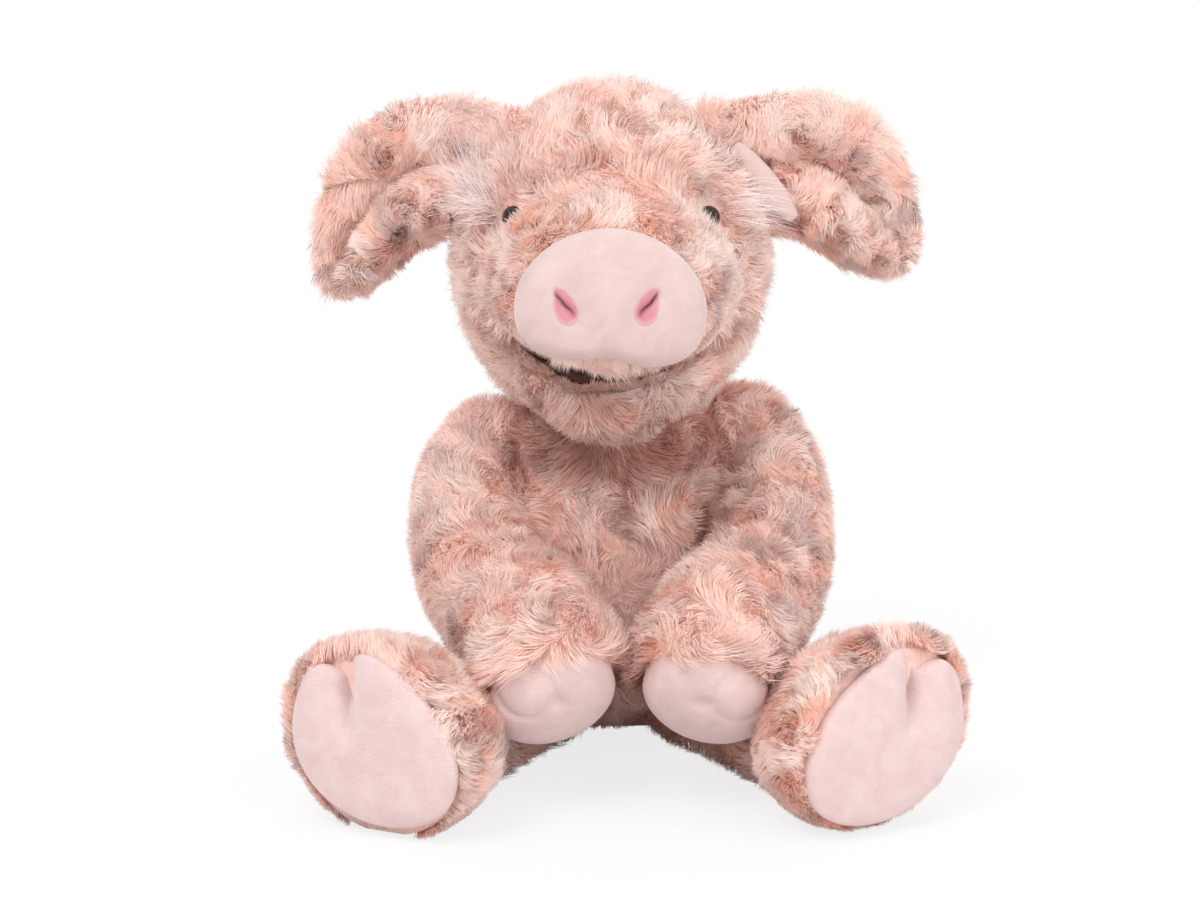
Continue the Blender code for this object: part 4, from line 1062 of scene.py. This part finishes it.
def ear_outline(side, front, back, rows, edge=0.0):
    """A closed leaf: part = (1 - cos a) / 2 across, depth from the back to the front by sin a."""
    share, turn = np.meshgrid(rows, np.linspace(0, whole_turn, 96, False), indexing="ij")
    part = edge + (1 - 2 * edge) * (1 - np.cos(turn)) / 2
    swell = np.sign(np.sin(turn)) * np.abs(np.sin(turn)) ** 0.55
    depth = (front + back) / 2 + (front - back) / 2 * swell
    return ear_leaf(sides[side], ear_lean[side], ear_corner[side], share, part, depth)


def fur_side(grid, outward):
    """Roots on the ear's front and round its edges, but not over the bare fold."""
    along = unit(fold_end - fold_start)
    offset = (grid - fold_start) * np.array((1.0, 0.0, 1.0))
    place = np.clip((offset * along).sum(-1), 0.004, np.linalg.norm(fold_end - fold_start))
    apart = np.linalg.norm(offset - place[..., None] * along, axis=-1)
    return smooth_step(0.55, 0.05, outward[..., 1]) * (apart > 0.0065)


for seed, (side, sign) in enumerate(sides.items()):
    body = "ear_" + side
    rows = 1 - (1 - np.linspace(0, 1, 64)) ** 1.3
    leaf = ear_outline(side, 0.0026, -0.0024, rows * 0.995)
    sewn("ear_leaf_" + side, leaf, body, "fur", backing, body + "_fur", fill=0.4)
    lining = ear_outline(side, -0.0022, -0.0042, 0.06 + 0.88 * rows, 0.05)
    sewn("ear_velour_" + side, lining, body, "velour", lilac_velour, body + "_lining", fill=0.3)

    def toward_tip(root, outward, chart, sign=sign):
        """The ear's fur lies out and down toward the tip."""
        return np.array((sign * 0.55, 0.0, -0.5)) + 0 * root

    def short_at_edge(root, outward, chart):
        """Pile of 9 mm on the ear's front, and 6 mm round its edges."""
        return 0.0090 - 0.0030 * smooth_step(-0.75, -0.2, outward[:, 1])

    grow_pile("ear_pile_" + side, body, leaf, 34000, short_at_edge, toward_tip, 41 + seed,
              keep=fur_side, whirl=0.016, pull=0.16, lean=52.0)

place, turn = rings(0, 1, 40, 40)
fold_line = fold_start + (fold_end - fold_start) * place[..., None]
fold_half = 0.0048 * np.sin(np.pi * (0.04 + 0.92 * place)) ** 0.4
fold_grid = fold_line + fold_half[..., None] * (
    unit(np.array((0.75, 0.0, 0.64))) * np.cos(turn)[..., None]
    + np.array((0.0, -0.5, 0.0)) * np.sin(turn)[..., None]
)
sewn("ear_fold_left", fold_grid, "ear_left", "velour", lilac_velour, fill=0.5)

# Each arm is a stuffed fur sleeve, flat at its round shoulder seam and bent at the elbow.
# A velour hoof with a big and a small toe closes the wrist, under a fringe of longer fur.
shoulder_side, shoulder_ahead, shoulder_height = 0.038, 0.004, 0.108
arm_forward, arm_drop, paw_diameter = 0.103, 0.060, 0.051
arm_rows = np.array((
    (0.00, 0.00, 0.00, 0.000, 0.63), (0.34, 0.00, 0.00, 0.000, 0.63),
    (0.64, 0.00, 0.01, 0.020, 0.65), (0.90, 0.00, 0.085, 0.170, 0.74),
    (1.00, 0.04, 0.22, 0.370, 0.77), (0.97, 0.17, 0.38, 0.540, 0.79),
    (0.80, 0.38, 0.54, 0.645, 0.82), (0.60, 0.60, 0.70, 0.700, 0.88),
    (0.38, 0.80, 0.83, 0.760, 0.95), (0.26, 0.93, 0.93, 0.870, 1.00),
    (0.20, 1.00, 1.00, 1.000, 0.94),
))
arm_table = np.column_stack((np.linspace(0, 1, len(arm_rows)), arm_rows))
arm_out, arm_inward = {"right": 0.0190, "left": 0.0215}, {"right": 0.0166, "left": 0.0096}
arm_raise = {"right": 0.004, "left": 0.0095}


def arm_path(side, place):
    """The arm's middle line and thickness, from its out, inward, forward and drop rows."""
    out, inward, forward, drop, thick = eased(arm_table, place)
    reach = arm_out[side] * out - arm_inward[side] * inward
    ahead = -shoulder_ahead - arm_forward * forward
    lift = arm_raise[side] * bell(np.maximum(place - 0.20, 0.0), 0.22)
    line = np.stack((
        sides[side] * (shoulder_side + seam_gap + reach), ahead,
        shoulder_height + lift - arm_drop * drop,
    ), -1) + seat
    return line, paw_diameter / 2 * thick


def tube(line, radius, first, count=64):
    """A round tube, line + r (cos a across + sin a third), and its directions along the line.
    The two directions across it are carried along without a twist."""
    along = unit(np.gradient(line, axis=0))
    across = [unit(first)]
    for step in along[1:]:
        across.append(unit(across[-1] - step * (across[-1] @ step)))
    across = np.array(across)
    third = np.cross(along, across)
    turn = np.linspace(0, whole_turn, count, False)[None, :, None]
    return line[:, None] + radius[:, None, None] * (
        across[:, None] * np.cos(turn) + third[:, None] * np.sin(turn)
    ), along


def down_the_line(along, strength):
    """A flow for a tube's fur: along its line, from its start to its end."""
    def flow(root, outward, chart):
        """The line's direction at each root."""
        return along[np.round(chart[:, 1] * (len(along) - 1)).astype(int)] * strength
    return flow


hoof_rows = (
    (0.00, -0.16, 0.80), (0.08, 0.00, 0.90), (0.20, 0.16, 0.985), (0.36, 0.38, 1.00),
    (0.54, 0.62, 0.90), (0.70, 0.82, 0.70), (0.85, 0.94, 0.42), (1.00, 1.00, 0.01),
)
hoof_diameter, hoof_depth = 0.047, 0.017
toe_turn = {"right": np.radians(140.0), "left": np.radians(32.0)}


def hoof_dome(side):
    """A dome round the way the wrist points, with a small toe's arc and a dent pressed in."""
    wrist = arm_path(side, np.array((0.8, 1.0)))[0]
    along = unit(wrist[1] - wrist[0])
    across = -unit(np.cross(along, (0.0, 0.0, 1.0)))
    upward = np.cross(along, across)
    place, turn = rings(0, 1, 110, 200)
    deep, size = eased(hoof_rows, place)
    right, high = size * np.cos(turn), size * np.sin(turn)
    toe = np.array((np.cos(toe_turn[side]), np.sin(toe_turn[side]))) * 0.80
    reach = np.hypot(right - toe[0], high - toe[1])
    crease = bell(reach - 0.42, 0.07) * smooth_step(0.3, 0.6, deep + 0.3)
    puff = smooth_step(0.42, 0.1, reach)
    dent = np.exp(-((right - toe[0] * 0.15) ** 2 + (high - 0.42) ** 2) / 0.13**2)
    shift = 0.0008 * puff - 0.0009 * crease - 0.0022 * dent
    half = hoof_diameter / 2
    points = (
        wrist[1] + along * (hoof_depth * deep)[..., None]
        + half * (across * right[..., None] + upward * high[..., None])
    )
    return points + outward_of(points) * shift[..., None], upward


ribbed_velour = velour_material(
    "ribbed_velour", (0.68, 0.49, 0.48, 1.0), (0.78, 0.60, 0.58, 1.0), 1.1, 0.00022
)
straight_ahead = np.array((0.0, -1.0, 0.0))
for seed, (side, sign) in enumerate(sides.items()):
    body = "arm_" + side
    line, radius = arm_path(side, np.linspace(0, 1, 110))
    sleeve, along = tube(line, radius, straight_ahead)
    sewn("arm_sleeve_" + side, sleeve, body, "fur", backing, body + "_cover", fill=0.75)
    core, _ = tube(line[2:-2], radius[2:-2] - fur_cloth - 0.0025, straight_ahead)
    sewn("arm_wadding_" + side, lumpy(core, 0.0, 0.0003, 51 + seed), body, "stuffing", wadding,
         body + "_stuffing", fill=0.75)
    dome, wrist_up = hoof_dome(side)
    sewn("hoof_pad_" + side, dome, body, "velour", ribbed_velour, "hoof_" + side, fill=0.9)

    def fringe(root, outward, chart, up=wrist_up, sign=sign):
        """Pile of 9.5 mm, shorter outside, and of 15 mm over the hoof's upper side."""
        above = smooth_step(-0.1, 0.6, outward @ up)
        outer = smooth_step(0.3, 0.9, outward[:, 0] * sign)
        return 0.0095 - 0.003 * outer + 0.0055 * smooth_step(0.90, 0.99, chart[:, 1]) * above

    def outside_body(grid, outward):
        """No roots on the flat shoulder seam."""
        rows = np.linspace(0, 1, len(grid))[:, None]
        return smooth_step(0.02, 0.05, rows) + 0 * grid[..., 0]

    grow_pile("arm_pile_" + side, body, sleeve, 46000, fringe, down_the_line(along, 0.9),
              53 + seed, keep=outside_body)

# Each leg is a stuffed fur tube with a ball at the hip, and ends in a turned-up fur foot.
# A ribbed velour sole is sewn into the foot's front, pulled in between its two toes.
hip_side, hip_ahead, leg_length = 0.036, 0.020, 0.084
foot_length, foot_width, foot_height = 0.036, 0.075, 0.067
splay = {"right": np.radians(25.0), "left": np.radians(29.5)}
leg_rows = (
    (-0.0240, 0.0095, 0.0260), (-0.0214, 0.0156, 0.0260), (-0.0124, 0.0234, 0.0260),
    (0.0000, 0.0265, 0.0260), (0.0151, 0.0201, 0.0196), (0.0302, 0.0187, 0.0182),
    (0.0462, 0.0178, 0.0173), (0.0630, 0.0185, 0.0180), (0.0756, 0.0199, 0.0194),
    (0.0840, 0.0205, 0.0200),
)
foot_rows = (
    (0.00, 0.62, 0.68), (0.10, 0.73, 0.80), (0.25, 0.85, 0.89), (0.45, 0.94, 0.93),
    (0.68, 0.96, 0.95), (0.84, 0.95, 0.97), (0.94, 0.91, 0.97), (1.00, 0.82, 0.92),
)
sole_rows = (
    (0.00, -0.35, 0.80), (0.08, 0.00, 0.94), (0.16, 0.25, 0.985), (0.26, 0.50, 0.995),
    (0.38, 0.70, 0.96), (0.52, 0.84, 0.85), (0.70, 0.95, 0.62), (0.85, 0.99, 0.34),
    (1.00, 1.00, 0.01),
)
sole_puff, cleft_side = 0.0085, 0.30
foot_raise, foot_aside = {"right": 0.0010, "left": 0.0045}, {"right": -0.0020, "left": -0.0035}
foot_lean, sole_lean = {"right": 0.003, "left": 0.005}, {"right": 0.16, "left": 0.22}
sole_aside, floor_gap = {"right": -0.0025, "left": -0.0030}, 0.0004


def leg_axes(side):
    """The hip's place on the floor, the way the leg points and the way out beside it."""
    sign, turn = sides[side], splay[side]
    hip = seat + np.array((sign * hip_side, -hip_ahead, 0.0))
    ahead = np.array((sign * np.sin(turn), -np.cos(turn), 0.0))
    return hip, ahead, np.array((sign * np.cos(turn), np.sin(turn), 0.0))


def leg_place(side, far, aside, lift):
    """Places by how far they are along the leg, out beside it and above the floor."""
    hip, ahead, out = leg_axes(side)
    risen = np.stack((0 * lift, 0 * lift, lift), -1)
    return hip + ahead * far[..., None] + out * aside[..., None] + risen


def leg_tube(side):
    """Rounds along the leg that rest on the floor: hip + d ahead + r (cos a out + sin a up)."""
    far, turn = rings(-0.0235, leg_length, 60, 60)
    half, height = eased(leg_rows, far)
    lift = np.maximum(height + half * np.sin(turn), floor_gap)
    return leg_place(side, far, half * np.cos(turn), lift)


def foot_block(side):
    """Rounds from the ankle to the sole's edge, each standing on the floor."""
    share, turn = rings(0, 1, 44, 90)
    wide, high = eased(foot_rows, share)
    half_high = foot_height / 2 * high
    corner = 1 + 0.10 * bell(turn - np.radians(42.0), 0.45)
    lift = np.maximum(half_high - flat_depth + half_high * corner * np.sin(turn), floor_gap)
    level = (lift / foot_height - 0.5) * 2
    lift = lift + foot_raise[side] * share**2
    shift = (foot_aside[side] + foot_lean[side] * level) * share
    aside = foot_width / 2 * wide * corner * np.cos(turn) * (1 - 0.07 * level) + shift
    return leg_place(side, leg_length + seam_gap + foot_length * share, aside, lift)


def sole_pad(side):
    """A puffed pad before the foot: its outline leans out at the top, and a crease that fades
    halfway down parts two toes."""
    place, turn = rings(0, 1, 150, 260)
    deep, size = eased(sole_rows, place)
    cleft = bell(turn - np.radians(70.0), np.radians(7.0))
    toes = sum(bell(turn - np.radians(at), np.radians(17.0)) for at in (46.0, 102.0))
    reach = size * (1 + (0.06 * toes - 0.20 * cleft) * smooth_step(0.3, 1.0, size))
    high = reach * np.sin(turn)
    right = reach * np.cos(turn) * (1 - 0.12 * np.sin(turn)) + sole_lean[side] * high
    groove = bell(right - cleft_side - 0.10 * (high - 0.6), 0.065)
    groove = groove * smooth_step(-0.10, 0.60, high)
    soft = bell(right - cleft_side, 0.20) * smooth_step(-0.25, 0.75, high)
    puffed = sole_puff * deep - 0.0056 * groove * size**0.2 - 0.0036 * soft
    half_wide, half_high = foot_width / 2 * 0.86, foot_height / 2 * 0.90
    return leg_place(side, leg_length + foot_length + puffed,
                     half_wide * right + sole_aside[side], half_high * (1.0 + high) + 0.0045)


for seed, side in enumerate(sides):
    body, foot = "leg_" + side, "foot_" + side
    _, ahead, out = leg_axes(side)
    thigh, block = leg_tube(side), foot_block(side)
    sewn("leg_sleeve_" + side, thigh, body, "fur", backing, body + "_cover", fill=0.7)
    sewn("foot_bag_" + side, block, body, "fur", backing, foot + "_cover", fill=0.85)
    inner = lumpy(thigh[3:-1], fur_cloth + wadding_gap, 0.0004, 61 + seed)
    sewn("leg_wadding_" + side, inner, body, "stuffing", wadding, body + "_stuffing", fill=0.7)
    inner = lumpy(block[1:-1], fur_cloth + wadding_gap, 0.0004, 63 + seed)
    sewn("foot_wadding_" + side, inner, body, "stuffing", wadding, foot + "_stuffing", fill=0.85)
    sewn("sole_pad_" + side, sole_pad(side), body, "velour", ribbed_velour, "sole_" + side,
         fill=0.9)

    def along_leg(root, outward, chart, ahead=ahead):
        """The leg's fur lies toward the foot."""
        return ahead * 0.7 + np.array((0.0, 0.0, -0.3)) + 0 * root

    def off_the_floor(grid, outward):
        """No roots on the underside that the toy rests on."""
        return 1.0 * (grid[..., 2] > 0.0035)

    middle = block.mean((0, 1))

    def over_rim(root, outward, chart, ahead=ahead, middle=middle):
        """The foot's fur lies forward, and stands out round the sole's edge."""
        away = root - middle
        away = away - ahead * (away @ ahead)[:, None]
        return ahead * 0.6 + unit(away) * smooth_step(0.80, 0.95, chart[:, 1])[:, None]

    def front_edge(root, outward, chart, out=out):
        """Pile of 8.5 mm, 6 mm on the outer side and 4 mm below."""
        outer = smooth_step(0.2, 0.8, outward @ out)
        return 0.0085 - np.maximum(0.0025 * outer, 0.0045 * smooth_step(0.0, 0.5, -outward[:, 2]))

    grow_pile("leg_pile_" + side, body, thigh, 22000, 0.0085, along_leg, 65 + seed,
              keep=off_the_floor)
    grow_pile("foot_pile_" + side, body, block, 41000, front_edge, over_rim, 67 + seed,
              keep=off_the_floor, lean=50.0, swirl=1.3)

# The tail is a thin fur tube, curled once and sewn to the middle of the back.
tail_height, tail_curl, tail_diameter, tail_length = 0.034, 0.018, 0.0085, 0.022
tail_turns, tail_swell, tail_taper, tail_root = 1.2, 0.33, 0.35, 0.004
_, _, tail_back, tail_lean = eased(body_rows, tail_height / body_height)
part = np.linspace(0, 1, 90)
angle = -np.pi / 2 + whole_turn * tail_turns * part
swell = tail_curl / 2 * np.minimum(1.0, part / tail_swell)
tail_line = seat + np.column_stack((
    swell * np.cos(angle),
    body_lean * tail_lean + body_back * tail_back - tail_root + (tail_length + tail_root) * part,
    tail_height + tail_curl / 2 + swell * np.sin(angle),
))
tail_half = tail_diameter / 2 * (1 - tail_taper * part) * np.sqrt(
    np.clip((1.02 - part) / 0.06, 0.05, 1.0)
)
curl, tail_along = tube(tail_line, tail_half, np.array((0.0, 0.0, 1.0)), 28)
sewn("tail_curl", curl, "body", "fur", backing, "tail", fill=0.6)
grow_pile("tail_pile", "body", curl, 6000, 0.0045, down_the_line(tail_along, 1.0), 71,
          whirl=0.008, swirl=0.3)

# The floor is a plain pale sweep, with soft lamps above and beside, as in a product studio.
# It isn't part of the toy.
white, grey, floor_half = (1.0, 1.0, 1.0, 1.0), (0.86, 0.86, 0.86, 1.0), 6.0
floor_corners = np.array(((-1, -1, 0), (1, -1, 0), (1, 1, 0), (-1, 1, 0))) * floor_half
floor_mesh = mesh_object("studio_floor", floor_corners, np.array(((0, 1, 2, 3),)))
floor_paint, tree, shader = new_material("pale_floor")
set_inputs(tree, shader, {"Base Color": grey, "Roughness": 0.9, "Specular IOR Level": 0.0})
glow = result(tree, "Emission", {"Color": white, "Strength": 1.0})
away = add_node(tree, "VectorMath", {0: own_place(tree)}, operation="LENGTH").outputs["Value"]
clear = {"Value": away, "From Min": 0.12, "From Max": 0.42, "To Min": 0.80}
clear = result(tree, "MapRange", clear, interpolation_type="SMOOTHSTEP")
camera_ray = add_node(tree, "LightPath").outputs["Is Camera Ray"]
seen = result(tree, "Math", {0: camera_ray, 1: clear}, operation="MULTIPLY")
shown = result(tree, "MixShader", {0: seen, 1: shader.outputs[0], 2: glow})
set_inputs(tree, tree.nodes["Material Output"], {"Surface": shown})
floor_mesh.data.materials.append(floor_paint)

world = bpy.data.worlds.new("studio")
bpy.context.scene.world = world
world.use_nodes = True
tree = world.node_tree
camera_ray = add_node(tree, "LightPath").outputs["Is Camera Ray"]
level = result(tree, "MapRange", {"Value": camera_ray, "To Min": 0.77, "To Max": 1.0})
set_inputs(tree, tree.nodes["Background"], {"Strength": level, "Color": white})


def soft_lamp(name, place, size, power):
    """A square area lamp that looks at the middle of the toy."""
    lamp = bpy.data.lights.new(name, "AREA")
    lamp.size = size
    lamp.energy = power
    made = bpy.data.objects.new(name, lamp)
    made.location = place
    made.rotation_mode = "QUATERNION"
    target = Vector((seat[0], seat[1], neck_height))
    made.rotation_quaternion = (target - Vector(place)).to_track_quat("-Z", "Y")
    bpy.context.scene.collection.objects.link(made)


soft_lamp("key_lamp", (-0.7, -1.1, 1.6), 0.9, 18.0)
soft_lamp("fill_lamp", (1.3, -1.2, 0.9), 1.2, 11.5)
soft_lamp("back_lamp", (0.3, 1.4, 1.5), 1.0, 9.0)

camera_reach, camera_rise, camera_lens = 1.1, np.radians(12.0), 84.6
look_aside, look_height = -0.0066, 0.111
look_at = Vector((seat[0] + look_aside, seat[1], look_height))
camera = bpy.data.cameras.new("camera")
camera.sensor_width = 36.0
camera.lens = camera_lens
viewer = bpy.data.objects.new("camera", camera)
back_off = Vector((0.0, -np.cos(camera_rise), np.sin(camera_rise)))
viewer.location = look_at + back_off * camera_reach
viewer.rotation_mode = "QUATERNION"
viewer.rotation_quaternion = (-back_off).to_track_quat("-Z", "Y")
bpy.context.scene.collection.objects.link(viewer)
bpy.context.scene.camera = viewer
bpy.context.scene.view_settings.view_transform = "Standard"
